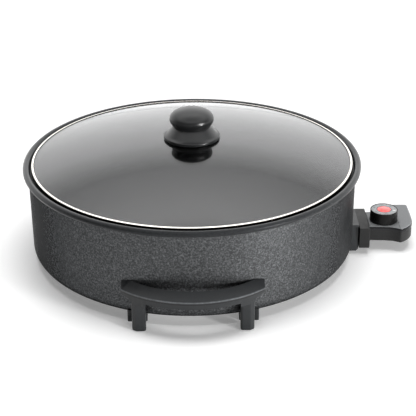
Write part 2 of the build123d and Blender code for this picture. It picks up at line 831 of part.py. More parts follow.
with BuildPart() as lid_gasket:
    with BuildSketch(Plane.XZ):
        with BuildLine():
            low = band_bottom + lid_band_thickness
            Polyline(
                (band_inner, low),
                (glass_radius, low),
                (glass_radius, dome_height(glass_radius, glass_thickness) - seal_gap),
                (band_inner, dome_height(band_inner, glass_thickness) - seal_gap),
                close=True,
            )
        make_face()
    revolve(axis=Axis.Z)

# ---------------------------------------------------------------- lid knob
knob_base_bottom = dome_height(knob_seal_inner_radius, 0) + knob_seal_thickness
knob_base_roof = knob_base_bottom + knob_base_hollow_depth
knob_base_top = knob_base_bottom + knob_base_height
knob_cap_bottom = knob_base_top
knob_cap_top = knob_cap_bottom + knob_cap_height
lower_seal_top = dome_height(glass_hole_radius, glass_thickness)
lower_seal_bottom = lower_seal_top - lower_seal_thickness
washer_bottom = lower_seal_bottom - washer_thickness

with BuildPart() as knob_seal:
    with BuildSketch(Plane.XZ):
        with BuildLine():
            inner_edge = Line(
                (knob_seal_inner_radius, knob_base_bottom),
                (knob_seal_inner_radius, dome_height(knob_seal_inner_radius, 0) + seal_gap),
            )
            middle = (knob_seal_inner_radius + knob_seal_radius) / 2
            under = ThreePointArc(
                inner_edge @ 1,
                (middle, dome_height(middle, 0) + seal_gap),
                (knob_seal_radius, dome_height(knob_seal_radius, 0) + seal_gap),
            )
            Polyline(under @ 1, (knob_seal_radius, knob_base_bottom), inner_edge @ 0)
        make_face()
    revolve(axis=Axis.Z)

with BuildPart() as knob_base:
    with BuildSketch(Plane.XZ) as base_section:
        with BuildLine():
            bore = screw_radius + screw_hole_gap
            Polyline(
                (bore, knob_base_roof),
                (knob_seal_inner_radius, knob_base_roof),
                (knob_seal_inner_radius, knob_base_bottom),
                (knob_base_radius, knob_base_bottom),
                (knob_base_radius, knob_base_bottom + knob_base_lip),
                (knob_waist_radius, knob_base_top),
                (bore, knob_base_top),
                close=True,
            )
        make_face()
        widest = base_section.vertices().group_by(Axis.X)[-1]
        fillet(widest.sort_by(Axis.Y)[-1], knob_base_edge_radius)
    revolve(axis=Axis.Z)

with BuildPart() as knob_cap:
    with BuildSketch(Plane.XZ):
        with BuildLine():
            belly = knob_cap_bottom + knob_cap_belly
            cap_axis = Line((0, knob_cap_top), (0, knob_cap_bottom))
            under = Line(cap_axis @ 1, (knob_waist_radius, knob_cap_bottom))
            lower = Spline(under @ 1, (knob_cap_radius, belly), tangents=((0.6, 1), (0, 1)))
            Spline(lower @ 1, cap_axis @ 0, tangents=((0, 1), (-1, 0)))
        make_face()
    revolve(axis=Axis.Z)
    with BuildSketch(Plane.XY.offset(knob_cap_bottom)):
        Circle(knob_insert_radius + thread_gap)
    extrude(amount=knob_insert_length + screw_end_gap, mode=Mode.SUBTRACT)

with BuildPart() as knob_insert:
    with BuildSketch(Plane.XY.offset(knob_cap_bottom)):
        Circle(knob_insert_radius)
        Circle(screw_radius + thread_gap, mode=Mode.SUBTRACT)
    extrude(amount=knob_insert_length)

with BuildPart() as knob_lower_seal:
    with BuildSketch(Plane.XY.offset(lower_seal_bottom)):
        Circle(lower_seal_radius)
        Circle(glass_hole_radius, mode=Mode.SUBTRACT)
    extrude(amount=lower_seal_thickness)
    with BuildSketch(Plane.XZ):
        with BuildLine():
            seal_edge = lower_seal_radius + seal_gap
            under_glass = Polyline(
                (0, lower_seal_top + glass_thickness),
                (0, dome_height(0, glass_thickness) - seal_gap),
            )
            dome = ThreePointArc(
                under_glass @ 1,
                (seal_edge / 2, dome_height(seal_edge / 2, glass_thickness) - seal_gap),
                (seal_edge, dome_height(seal_edge, glass_thickness) - seal_gap),
            )
            Polyline(dome @ 1, (seal_edge, lower_seal_top + glass_thickness), under_glass @ 0)
        make_face()
    revolve(axis=Axis.Z, mode=Mode.SUBTRACT)

with BuildPart() as knob_washer:
    with BuildSketch(Plane.XY.offset(washer_bottom)):
        Circle(washer_radius)
        Circle(screw_radius + screw_hole_gap, mode=Mode.SUBTRACT)
    extrude(amount=washer_thickness)

with BuildPart() as knob_screw:
    with Locations((0, 0, washer_bottom)):
        add(
            screw(
                screw_radius,
                knob_cap_bottom + knob_insert_length - screw_end_gap - washer_bottom,
                screw_head_radius,
                screw_head_height,
            )
        )

# ================================================================ controller
with BuildPart() as plug_collar:
    with BuildSketch(Plane.YZ.offset(collar_x)):
        with Locations((0, (collar_bottom + collar_top) / 2)):
            Rectangle(2 * collar_half_width, collar_top - collar_bottom)
    extrude(amount=collar_length)
    fillet(plug_collar.edges().filter_by(Axis.X), collar_edge_radius)
    rear_rim = plug_collar.faces().sort_by(Axis.X)[-1]
    chamfer(rear_rim.edges(), collar_edge_radius / 2)
    with BuildSketch(Plane.YZ.offset(collar_x)):
        with Locations((0, element_z)):
            RectangleRounded(
                2 * (socket_half_width + socket_wall + plug_gap),
                2 * (socket_half_height + socket_wall + plug_gap),
                socket_wall + plug_gap,
            )
    extrude(amount=collar_length - collar_back, mode=Mode.SUBTRACT)
    with BuildSketch(Plane.YZ.offset(collar_x)):
        with Locations((0, element_z)):
            Rectangle(2 * block_half_width, 2 * block_half_height)
    extrude(amount=collar_length, mode=Mode.SUBTRACT)

with BuildPart() as contact_block:
    with BuildSketch(Plane.YZ.offset(block_x)):
        with Locations((0, element_z)):
            Rectangle(2 * block_half_width, 2 * block_half_height)
            Circle(probe_radius + thread_gap, mode=Mode.SUBTRACT)
        for side in (-1, 1):
            with Locations((side * half_spacing, element_z)):
                Circle(contact_radius + thread_gap, mode=Mode.SUBTRACT)
    extrude(amount=shell_x - block_x)

with BuildPart() as terminal_contacts:
    for side in (-1, 1):
        with BuildSketch(Plane.YZ.offset(contact_x)):
            with Locations((side * half_spacing, element_z)):
                Circle(contact_radius)
    extrude(amount=shell_x - contact_x)
    for side in (-1, 1):
        with BuildSketch(Plane.YZ.offset(contact_x)):
            with Locations((side * half_spacing, element_z)):
                Circle(contact_bore)
    extrude(amount=shell_x - contact_wall - contact_x, mode=Mode.SUBTRACT)
    for side in (-1, 1):
        with BuildSketch(Plane.YZ.offset(shell_x)):
            with Locations((side * half_spacing, element_z)):
                Circle(contact_tail_radius)
    extrude(amount=contact_tail_length)

with BuildPart() as temperature_probe:
    with BuildSketch(Plane.YZ.offset(probe_tip_x)):
        with Locations((0, element_z)):
            Circle(probe_radius)
    extrude(amount=probe_back_x - probe_tip_x)
    tip = temperature_probe.faces().sort_by(Axis.X)[0]
    fillet(tip.edges(), probe_tip_radius)
    with BuildSketch(Plane.YZ.offset(probe_back_x)):
        with Locations((0, element_z)):
            Circle(probe_radius - probe_wall)
    extrude(amount=probe_tip_x + probe_radius - probe_back_x, mode=Mode.SUBTRACT)

with BuildPart() as probe_rod:
    with BuildSketch(Plane.YZ.offset(probe_tip_x + probe_radius)):
        with Locations((0, element_z)):
            Circle(probe_radius - probe_wall - probe_rod_gap)
    extrude(amount=probe_back_x + probe_rod_reach - probe_tip_x - probe_radius)

with BuildPart() as probe_ferrule:
    with BuildSketch(Plane.YZ.offset(ferrule_x)):
        with Locations((0, element_z)):
            RectangleRounded(ferrule_width, ferrule_height, ferrule_height / 8)
            Circle(probe_radius + thread_gap, mode=Mode.SUBTRACT)
    extrude(amount=ferrule_length)


def shell_outline(inset=0.0):
    """Plan of the controller: narrow at the collar, flared in front, deep at the back."""
    end_x = shell_end_x - shell_end_bulge
    back_x = shell_x + shell_back_corner_x
    back_rise = shell_back_far - shell_back_near
    with BuildSketch() as outline:
        with BuildLine():
            front = Line(
                (shell_x, -shell_front_near),
                (shell_x + shell_flare_x, -shell_front_near - shell_front_taper),
            )
            flare = TangentArc(
                front @ 1,
                (shell_x + shell_waist_x, -shell_front_far),
                tangent=front % 1,
            )
            nose = RadiusArc(flare @ 1, (end_x, shell_nose_y), -shell_nose_radius)
            end = ThreePointArc(
                nose @ 1,
                (shell_end_x, (shell_nose_y + shell_back_far) / 2),
                (end_x, shell_back_far),
            )
            back = Line(end @ 1, (back_x, shell_back_far))
            shoulder = TangentArc(
                back @ 1,
                ((shell_x + back_x) / 2, shell_back_far - back_rise / 2),
                tangent=(-1, 0),
            )
            hollow = TangentArc(
                shoulder @ 1, (shell_x, shell_back_near), tangent=shoulder % 1
            )
            Line(hollow @ 1, front @ 0)
        make_face()
        corners = outline.vertices().filter_by(lambda v: v.X > shell_x + shell_waist_x - 0.01)
        fillet([corners.sort_by(Axis.Y)[0], corners.sort_by(Axis.Y)[-1]], shell_corner_radius)
        if inset:
            offset(amount=-inset, kind=Kind.INTERSECTION)
    return outline.sketch


with BuildPart() as controller_housing:
    with BuildSketch(Plane.XY.offset(shell_bottom)):
        add(shell_outline(shell_step))
    extrude(amount=shell_parting - shell_bottom)
    fillet(controller_housing.faces().sort_by(Axis.Z)[0].edges(), shell_bottom_radius)
    with BuildSketch(Plane.XY.offset(shell_floor)):
        add(shell_outline(shell_wall + shell_step))
    extrude(amount=shell_parting - shell_floor, mode=Mode.SUBTRACT)
    with BuildSketch(Plane.XY.offset(shell_floor)):
        with Locations(boss_places):
            Circle(boss_radius)
    extrude(amount=shell_parting - shell_floor)
    for depth, radius in (
        (shell_parting - shell_bottom, small_screw_radius + thread_gap),
        (small_screw_recess, small_screw_head_radius + screw_hole_gap),
    ):
        with BuildSketch(Plane.XY.offset(shell_bottom)):
            with Locations(boss_places):
                Circle(radius)
        extrude(amount=depth, mode=Mode.SUBTRACT)
    # ways in for the probe and the contact tails
    with BuildSketch(Plane.YZ.offset(shell_x)):
        with Locations((0, element_z)):
            Circle(probe_radius + thread_gap)
        for side in (-1, 1):
            with Locations((side * half_spacing, element_z)):
                Circle(contact_tail_radius + thread_gap)
    extrude(amount=2 * shell_wall, mode=Mode.SUBTRACT)
    # seat for the cord grommet in the rear wall
    with BuildSketch(Plane.XZ.offset(-shell_back_far)):
        with Locations((cord_inlet_x, cord_inlet_z)):
            Circle(grommet_radius)
    extrude(amount=2 * shell_wall, mode=Mode.SUBTRACT)

with BuildPart() as controller_cover:
    with BuildSketch(Plane.XY.offset(shell_parting)):
        add(shell_outline())
    extrude(amount=shell_top - shell_parting)
    fillet(controller_cover.faces().sort_by(Axis.Z)[-1].edges(), shell_edge_radius)
    with BuildSketch(Plane.XY.offset(shell_parting)):
        add(shell_outline(shell_wall))
    extrude(amount=shell_top - shell_parting - shell_wall, mode=Mode.SUBTRACT)
    with BuildSketch(Plane.XY.offset(shell_parting)):
        with Locations(boss_places):
            Circle(boss_radius)
    extrude(amount=shell_top - shell_parting - shell_wall)
    with BuildSketch(Plane.XY.offset(shell_parting)):
        with Locations(boss_places):
            Circle(small_screw_radius + thread_gap)
    extrude(amount=cover_thread_length, mode=Mode.SUBTRACT)
    with BuildSketch(Plane.XY.offset(shell_top)):
        with Locations((dial_x, 0)):
            Circle(dial_radius + dial_well_gap)
            Rectangle(
                2 * (dial_radius + dial_well_gap),
                2 * shell_front_far,
                align=(Align.CENTER, Align.MAX),
            )
    extrude(amount=-dial_well_depth, mode=Mode.SUBTRACT)
    with BuildSketch(Plane.XY.offset(shell_top)):
        with Locations((dial_x, 0)):
            Circle(spindle_radius + spindle_gap)
        with Locations((dial_x, lamp_offset)):
            Circle(lamp_radius + thread_gap)
    extrude(amount=-2 * shell_wall, mode=Mode.SUBTRACT)

with BuildPart() as housing_screws:
    housing_screw = screw(
        small_screw_radius,
        shell_parting - shell_bottom - small_screw_recess + cover_thread_length - screw_end_gap,
        small_screw_head_radius,
        small_screw_head_height,
    )
    for x, y in boss_places:
        with Locations((x, y, shell_bottom + small_screw_recess)):
            add(housing_screw)

with BuildPart() as cord_grommet:
    with BuildSketch(Plane.XZ.offset(-shell_back_far)):
        with Locations((cord_inlet_x, cord_inlet_z)):
            Circle(grommet_flange_radius)
    extrude(amount=-grommet_flange_thickness)
    with BuildSketch(Plane.XZ.offset(-shell_back_far)):
        with Locations((cord_inlet_x, cord_inlet_z)):
            Circle(grommet_radius - thread_gap)
    extrude(amount=grommet_length - grommet_flange_thickness)
    fillet(cord_grommet.faces().sort_by(Axis.Y)[-1].edges(), grommet_flange_thickness / 3)
    with BuildSketch(Plane.XZ.offset(-shell_back_far - grommet_flange_thickness)):
        with Locations((cord_inlet_x, cord_inlet_z)):
            Circle(cord_bore_radius)
    extrude(amount=grommet_length, mode=Mode.SUBTRACT)

# ---------------------------------------------------------------- inside the controller
with BuildPart() as thermostat_frame:
    with BuildSketch(Plane.XY.offset(shell_floor)):
        with Locations((frame_x, 0)):
            Rectangle(frame_length, frame_width, align=(Align.MIN, Align.CENTER))
        with Locations((stack_x, 0)):
            Circle(rivet_radius + thread_gap, mode=Mode.SUBTRACT)
    extrude(amount=frame_thickness)
    with BuildSketch(Plane.YZ.offset(frame_x)):
        with Locations((0, shell_floor)):
            Rectangle(ferrule_width, frame_height, align=(Align.CENTER, Align.MIN))
        with Locations((0, element_z)):
            Circle(probe_radius + thread_gap, mode=Mode.SUBTRACT)
    extrude(amount=frame_thickness)

with BuildPart() as thermostat_spacers:
    for bottom, height in (
        (frame_top, lower_spring_z - frame_top),
        (lower_spring_z + spring_thickness, spring_spacing - spring_thickness),
        (upper_spring_z + spring_thickness, top_spacer_height),
    ):
        with BuildSketch(Plane.XY.offset(bottom)):
            with Locations((stack_x, 0)):
                Circle(spacer_radius)
                Circle(rivet_radius + thread_gap, mode=Mode.SUBTRACT)
        extrude(amount=height)

with BuildPart() as contact_springs:
    for height, start in ((lower_spring_z, lower_spring_x), (upper_spring_z, upper_spring_x)):
        with BuildSketch(Plane.XY.offset(height)):
            with Locations((start, 0)):
                Rectangle(
                    stack_x + spacer_radius - start,
                    spring_width,
                    align=(Align.MIN, Align.CENTER),
                )
            with Locations((stack_x, 0)):
                Circle(rivet_radius + thread_gap, mode=Mode.SUBTRACT)
        extrude(amount=spring_thickness)

with BuildPart() as contact_points:
    button_height = (spring_spacing - spring_thickness - contact_opening) / 2
    for bottom in (lower_spring_z + spring_thickness, upper_spring_z - button_height):
        with BuildSketch(Plane.XY.offset(bottom)):
            with Locations((upper_spring_x + button_radius + button_inset, 0)):
                Circle(button_radius)
        extrude(amount=button_height)

with BuildPart() as cam_follower:
    with BuildSketch(Plane.XY.offset(upper_spring_z + spring_thickness)):
        with Locations((dial_x + cam_long_radius + cam_gap + follower_radius, 0)):
            Circle(follower_radius)
    extrude(amount=follower_height)
    fillet(cam_follower.edges().group_by(Axis.Z)[-1], follower_radius / 3)

with BuildPart() as thermostat_rivet:
    with BuildSketch(Plane.XY.offset(shell_floor)):
        with Locations((stack_x, 0)):
            Circle(rivet_radius)
    extrude(amount=stack_top - shell_floor)
    with BuildSketch(Plane.XY.offset(stack_top)):
        with Locations((stack_x, 0)):
            Circle(rivet_head_radius)
    extrude(amount=rivet_radius / 2)

with BuildPart() as pilot_lamp:
    with BuildSketch(Plane.XY.offset(lamp_bottom)):
        with Locations((dial_x, lamp_offset)):
            Circle(lamp_radius)
    extrude(amount=lamp_length)
    fillet(pilot_lamp.edges().group_by(Axis.Z)[-1], lamp_tip_radius)

with BuildPart() as terminal_block:
    with BuildSketch(Plane.XY.offset(shell_floor)):
        with Locations(terminal_block_centre):
            RectangleRounded(terminal_block_length, terminal_block_width, terminal_block_radius)
    extrude(amount=terminal_block_height)
    block_top = shell_floor + terminal_block_height
    with BuildSketch(Plane.XY.offset(block_top)):
        with Locations(terminal_block_centre):
            with GridLocations(terminal_pitch, 0, terminal_count, 1):
                Circle(small_screw_radius + thread_gap)
    extrude(amount=-terminal_screw_depth, mode=Mode.SUBTRACT)
    block_x_middle, block_y_middle = terminal_block_centre
    with BuildSketch(Plane.XZ.offset(terminal_block_width / 2 - block_y_middle)):
        with Locations((block_x_middle, shell_floor + wire_bore_height)):
            with GridLocations(terminal_pitch, 0, terminal_count, 1):
                Circle(wire_bore_radius)
    extrude(amount=-terminal_block_width, mode=Mode.SUBTRACT)

with BuildPart() as terminal_screws:
    terminal_screw = screw(
        small_screw_radius, terminal_screw_depth, terminal_screw_head, small_screw_head_height
    )
    with Locations((block_x_middle, block_y_middle, block_top)):
        with GridLocations(terminal_pitch, 0, terminal_count, 1):
            add(terminal_screw, rotation=(180, 0, 0))

clamp_plane = Plane.XZ.offset(-clamp_y)
with BuildPart() as cord_saddle:
    with BuildSketch(clamp_plane):
        with Locations((cord_inlet_x, shell_floor)):
            Rectangle(clamp_length, cord_inlet_z - shell_floor, align=(Align.CENTER, Align.MIN))
        with Locations((cord_inlet_x, cord_inlet_z)):
            Circle(cord_bore_radius, mode=Mode.SUBTRACT)
    extrude(amount=clamp_width)
    with BuildSketch(Plane.XY.offset(cord_inlet_z)):
        with Locations((cord_inlet_x, clamp_y - clamp_width / 2)):
            with GridLocations(clamp_screw_spacing, 0, 2, 1):
                Circle(small_screw_radius + thread_gap)
    extrude(amount=-clamp_screw_depth, mode=Mode.SUBTRACT)

with BuildPart() as cord_clamp:
    with BuildSketch(clamp_plane):
        with Locations((cord_inlet_x, cord_inlet_z)):
            Rectangle(clamp_length, clamp_height, align=(Align.CENTER, Align.MIN))
            Circle(cord_bore_radius, mode=Mode.SUBTRACT)
    extrude(amount=clamp_width)
    fillet(cord_clamp.edges().filter_by(Axis.Y).group_by(Axis.Z)[-1], clamp_edge_radius)
    with BuildSketch(Plane.XY.offset(cord_inlet_z)):
        with Locations((cord_inlet_x, clamp_y - clamp_width / 2)):
            with GridLocations(clamp_screw_spacing, 0, 2, 1):
                Circle(small_screw_radius + screw_hole_gap)
    extrude(amount=clamp_height, mode=Mode.SUBTRACT)

with BuildPart() as cord_clamp_screws:
    clamp_screw = screw(
        small_screw_radius,
        clamp_height + clamp_screw_depth,
        terminal_screw_head,
        small_screw_head_height,
    )
    with Locations((cord_inlet_x, clamp_y - clamp_width / 2, cord_inlet_z + clamp_height)):
        with GridLocations(clamp_screw_spacing, 0, 2, 1):
            add(clamp_screw, rotation=(180, 0, 0))

# ================================================================ dial
with BuildPart() as dial_knob:
    with BuildSketch(Plane.XY.offset(dial_bottom)):
        with Locations((dial_x, 0)):
            Circle(dial_radius)
    extrude(amount=dial_height)
    fillet(dial_knob.faces().sort_by(Axis.Z)[-1].edges(), dial_edge_radius)
    with BuildSketch(Plane.XY.offset(dial_top)):
        with Locations((dial_x, 0)):
            Circle(dial_radius - dial_rim)
    extrude(amount=-dial_recess, mode=Mode.SUBTRACT)
    with BuildSketch(Plane.XY.offset(dial_bottom)):
        with Locations((dial_x, 0)):
            Circle(dial_radius - dial_wall)
            Circle(dial_hub_radius, mode=Mode.SUBTRACT)
    extrude(amount=dial_height - dial_recess - dial_wall, mode=Mode.SUBTRACT)
    with BuildSketch(Plane.XY.offset(dial_bottom)):
        with Locations((dial_x, 0)):
            Circle(spindle_radius + thread_gap)
            with PolarLocations((dial_hub_radius + lens_radius) / 2, light_hole_count):
                Circle(light_hole_radius)
    extrude(amount=dial_height, mode=Mode.SUBTRACT)

with BuildPart() as dial_scale:
    with BuildSketch(Plane.XY.offset(dial_top - dial_recess)):
        with Locations((dial_x, 0)):
            Circle(dial_radius - dial_rim - thread_gap)
            Circle(lens_radius + thread_gap, mode=Mode.SUBTRACT)
    extrude(amount=scale_thickness)

with BuildPart() as dial_lens:
    lens_flat = dial_top - dial_recess + scale_thickness
    lens_sphere = (lens_radius**2 + lens_rise**2) / (2 * lens_rise)
    with BuildSketch(Plane((dial_x, 0, 0), x_dir=(1, 0, 0), z_dir=(0, -1, 0))):
        with BuildLine():
            lens_body = Polyline(
                (0, lens_flat + lens_rise),
                (0, dial_top - dial_recess),
                (lens_radius, dial_top - dial_recess),
                (lens_radius, lens_flat),
            )
            RadiusArc(lens_body @ 1, lens_body @ 0, -lens_sphere)
        make_face()
    revolve(axis=Axis((dial_x, 0, 0), (0, 0, 1)))

with BuildPart() as dial_spindle:
    with BuildSketch(Plane.XY.offset(spindle_bottom)):
        with Locations((dial_x, 0)):
            Circle(spindle_radius)
            Circle(spindle_bore, mode=Mode.SUBTRACT)
    extrude(amount=dial_top - dial_recess - spindle_bottom)
    # cam that sets the thermostat's contact pressure
    with BuildSketch(Plane.XY.offset(spindle_bottom)):
        with Locations((dial_x, 0)):
            Ellipse(cam_long_radius, cam_short_radius)
            Circle(spindle_bore, mode=Mode.SUBTRACT)
    extrude(amount=cam_height)

with BuildPart() as spindle_clip:
    with BuildSketch(Plane.XY.offset(shell_top - shell_wall - spindle_gap)):
        with Locations((dial_x, 0)):
            Circle(clip_radius)
            Circle(spindle_radius + thread_gap, mode=Mode.SUBTRACT)
            with Locations((clip_radius, 0)):
                Rectangle(2 * clip_radius - spindle_radius, spindle_radius, mode=Mode.SUBTRACT)
    extrude(amount=-clip_thickness)

pieces = {
    "pan_body": pan_body,
    "heating_element": heating_element,
    "element_insulators": element_insulators,
    "terminal_pins": terminal_pins,
    "base_cover": base_cover,
    "base_cover_screws": base_cover_screws,
    "probe_tube": probe_tube,
    "socket_housing": socket_housing,
    "socket_screws": socket_screws,
    "front_handle": front_handle,
    "front_handle_screws": front_handle_screws,
    "rear_handle": rear_handle,
    "rear_handle_screws": rear_handle_screws,
    "lid_glass": lid_glass,
    "lid_band": lid_band,
    "lid_gasket": lid_gasket,
    "knob_seal": knob_seal,
    "knob_base": knob_base,
    "knob_cap": knob_cap,
    "knob_insert": knob_insert,
    "knob_lower_seal": knob_lower_seal,
    "knob_washer": knob_washer,
    "knob_screw": knob_screw,
    "plug_collar": plug_collar,
    "contact_block": contact_block,
    "terminal_contacts": terminal_contacts,
    "temperature_probe": temperature_probe,
    "probe_rod": probe_rod,
    "probe_ferrule": probe_ferrule,
    "controller_housing": controller_housing,
    "controller_cover": controller_cover,
    "housing_screws": housing_screws,
    "cord_grommet": cord_grommet,
    "thermostat_frame": thermostat_frame,
    "thermostat_spacers": thermostat_spacers,
    "contact_springs": contact_springs,
    "contact_points": contact_points,
    "cam_follower": cam_follower,
    "thermostat_rivet": thermostat_rivet,
    "pilot_lamp": pilot_lamp,
    "terminal_block": terminal_block,
    "terminal_screws": terminal_screws,
    "cord_saddle": cord_saddle,
    "cord_clamp": cord_clamp,
    "cord_clamp_screws": cord_clamp_screws,
    "dial_knob": dial_knob,
    "dial_scale": dial_scale,
    "dial_lens": dial_lens,
    "dial_spindle": dial_spindle,
    "spindle_clip": spindle_clip,
}
os.makedirs("parts", exist_ok=True)
for name, piece in pieces.items():
    piece.part.label = name
    export_step(piece.part, f"parts/{name}.step")
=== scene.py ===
import json
from math import acos, atan2, cos, hypot, pi, radians, sin, sqrt, tan

import bmesh
import bpy
from mathutils import Matrix, Vector

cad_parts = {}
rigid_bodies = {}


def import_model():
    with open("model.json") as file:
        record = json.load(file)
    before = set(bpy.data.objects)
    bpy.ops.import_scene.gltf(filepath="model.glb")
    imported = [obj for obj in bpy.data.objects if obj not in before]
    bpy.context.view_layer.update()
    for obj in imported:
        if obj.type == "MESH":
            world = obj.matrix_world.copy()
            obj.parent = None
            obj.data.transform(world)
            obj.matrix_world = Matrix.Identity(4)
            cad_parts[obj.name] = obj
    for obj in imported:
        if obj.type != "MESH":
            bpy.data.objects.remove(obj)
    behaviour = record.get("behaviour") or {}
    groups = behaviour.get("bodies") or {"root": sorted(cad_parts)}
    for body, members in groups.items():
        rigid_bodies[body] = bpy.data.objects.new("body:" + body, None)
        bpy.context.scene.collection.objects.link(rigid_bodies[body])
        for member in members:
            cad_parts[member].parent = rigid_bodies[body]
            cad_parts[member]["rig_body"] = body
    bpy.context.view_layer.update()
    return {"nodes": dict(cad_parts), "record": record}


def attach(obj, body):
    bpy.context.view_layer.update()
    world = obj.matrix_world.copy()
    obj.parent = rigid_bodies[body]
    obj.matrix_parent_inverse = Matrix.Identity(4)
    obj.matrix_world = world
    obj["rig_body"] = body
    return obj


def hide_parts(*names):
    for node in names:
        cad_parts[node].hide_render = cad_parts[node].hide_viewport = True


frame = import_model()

nodes = frame["nodes"]
MM = 0.001

# The sizes of the CAD model that the pieces below share, in millimetres.
RIM_HEIGHT, RIM_TOP = 120.0, 123.7
BEAD_X, BEAD = 206.3, 3.7
LIP, MOUTH = 5.1, 201.2
LID_SEAT, SEAT_INNER, SEAT_LIP = 117.0, 196.4, 1.5
LEDGE_X, LEDGE_FOOT = 200.75, 110.7
WALL_FOOT = 203.0
WALL_STEPS = [(203.2, 45), (203.4, 70), (203.6, 95)]
CORNER, INNER_CORNER, INNER_FOOT = 11.0, 14.0, 200.0
UNDERSIDE, COVER_SEAT, BASE_UNDERSIDE, FLOOR_TOP = 9.5, 11.5, 24.0, 28.0
RING_INNER, RECESS = 184.0, 187.0
WINDOW_LOW, WINDOW_HIGH = (181, -18.5, 13.3), (206.8, 18.5, BASE_UNDERSIDE)
GRIP_AXIS, GRIP_RADIUS, LIP_TOP, LIP_BOTTOM = 115.0, 118.3, 48.0, 45.4
BAND_OUTER, BAND_INNER = 199.4, 196.6
BAND_BOTTOM, BAND_TOP, BAND_SHEET = 117.05, 124.25, 0.8
GLASS_RADIUS, GLASS_THICKNESS, GLASS_RISE, GLASS_HOLE = 198.4, 4.0, 27.6, 4.0
GLASS_EDGE = 0.5
SEAL_INNER, KNOB_BASE, KNOB_WAIST = 25.0, 34.7, 23.2
KNOB_FOOT, KNOB_BASE_HEIGHT, KNOB_HOLLOW = 151.01, 15.0, 1.5
KNOB_LIP_HEIGHT, KNOB_SHOULDER_HEIGHT, KNOB_SHOULDER_INSET = 3.4, 4.9, 3.6
KNOB_NECK_DROP, KNOB_NECK_FLARE = 1.4, 0.8
KNOB_CAP, KNOB_BELLY, KNOB_CAP_HEIGHT = 27.4, 9.4, 22.0
CAP_FLARE, CAP_BELLY_PULL, CAP_CROWN_PULL = (5.3, 8.8), 10.3, 30.2
SCREW_HOLE, INSERT_HOLE, INSERT_DEPTH = 2.3, 3.63, 10.4
DIAL = (244.6, 0.0)
DIAL_RADIUS, DIAL_FOOT, DIAL_TOP, DIAL_WALL = 17.5, 33.7, 48.7, 1.8
DIAL_RIM, DIAL_RECESS, SCALE_TOP = 16.3, 47.7, 48.3
LENS_RADIUS, LENS_RISE, SCALE_GAP = 8.4, 0.7, 0.03
WELL_FLOOR = 33.2

# How finely the turned pieces are cut.
PAN_SEGMENTS, KNOB_SEGMENTS, DIAL_SEGMENTS, LENS_SEGMENTS = 384, 256, 128, 96
GLASS_STEPS, LENS_STEPS = 40, 12


# ------------------------------------------------------------------ shader nodes
def new_material(name):
    """A node material, its tree and its Principled shader."""
    material = bpy.data.materials.new(name)
    material.use_nodes = True
    tree = material.node_tree
    shader = tree.nodes["Principled BSDF"]
    return material, tree, shader


def noise(tree, scale, detail=2.0, roughness=0.5, stretch=(1, 1, 1)):
    """Noise in the piece's own coordinates; scale is in cells per metre."""
    place = tree.nodes.new("ShaderNodeTexCoord")
    mapping = tree.nodes.new("ShaderNodeMapping")
    mapping.inputs["Scale"].default_value = stretch
    texture = tree.nodes.new("ShaderNodeTexNoise")
    texture.inputs["Scale"].default_value = scale
    texture.inputs["Detail"].default_value = detail
    texture.inputs["Roughness"].default_value = roughness
    tree.links.new(place.outputs["Object"], mapping.inputs["Vector"])
    tree.links.new(mapping.outputs["Vector"], texture.inputs["Vector"])
    return texture.outputs["Fac"]


def ramp(tree, factor, stops):
    """A colour ramp with (position, colour) stops."""
    node = tree.nodes.new("ShaderNodeValToRGB")
    elements = node.color_ramp.elements
    while len(elements) < len(stops):
        elements.new(0.5)
    for element, (position, colour) in zip(elements, stops):
        element.position = position
        element.color = (*colour, 1)
    tree.links.new(factor, node.inputs["Fac"])
    return node.outputs["Color"]


def mottle(tree, factor, dark, light):
    """A colour that goes from dark to light with a noise."""
    return ramp(tree, factor, ((0.3, dark), (0.7, light)))


def spread(tree, factor, low, high, start=0.3, stop=0.7):
    """A value that goes from low to high while the factor goes from start to stop."""
    node = tree.nodes.new("ShaderNodeMapRange")
    node.inputs["From Min"].default_value = start
    node.inputs["From Max"].default_value = stop
    node.inputs["To Min"].default_value = low
    node.inputs["To Max"].default_value = high
    tree.links.new(factor, node.inputs["Value"])
    return node.outputs["Result"]


def above(tree, place, start, stop):
    """0 up to one height or radius and 1 from the next, both in millimetres."""
    return spread(tree, place, 0, 1, start * MM, stop * MM)


def below(tree, place, start, stop):
    """1 up to one height or radius and 0 from the next, both in millimetres."""
    return spread(tree, place, 1, 0, start * MM, stop * MM)


def inverse(tree, value):
    """1 where the value is 0, and 0 where it is 1."""
    return spread(tree, value, 1, 0, 0, 1)


def feed(tree, socket, value):
    """Sets a socket to a number or a colour, or links another socket to it."""
    if isinstance(value, float):
        socket.default_value = value
    elif isinstance(value, tuple):
        socket.default_value = (*value, 1)
    else:
        tree.links.new(value, socket)


def combine(tree, operation, first, second):
    """A value worked out from two, each a number or a socket."""
    node = tree.nodes.new("ShaderNodeMath")
    node.operation = operation
    feed(tree, node.inputs[0], first)
    feed(tree, node.inputs[1], second)
    return node.outputs["Value"]


def product(tree, first, second):
    """The product of two values."""
    return combine(tree, "MULTIPLY", first, second)


def blend(tree, factor, first, second, kind="RGBA"):
    """A colour or value between two, each plain or a socket."""
    node = tree.nodes.new("ShaderNodeMix")
    node.data_type = kind
    tree.links.new(factor, node.inputs["Factor"])
    feed(tree, node.inputs["A"], first)
    feed(tree, node.inputs["B"], second)
    return node.outputs["Result"]


def coordinate(tree, output, axis):
    """One axis of an output of the texture coordinates."""
    place = tree.nodes.new("ShaderNodeTexCoord")
    split = tree.nodes.new("ShaderNodeSeparateXYZ")
    tree.links.new(place.outputs[output], split.inputs["Vector"])
    return split.outputs[axis]


def own_height(tree):
    """The height in the piece's own coordinates."""
    return coordinate(tree, "Object", "Z")


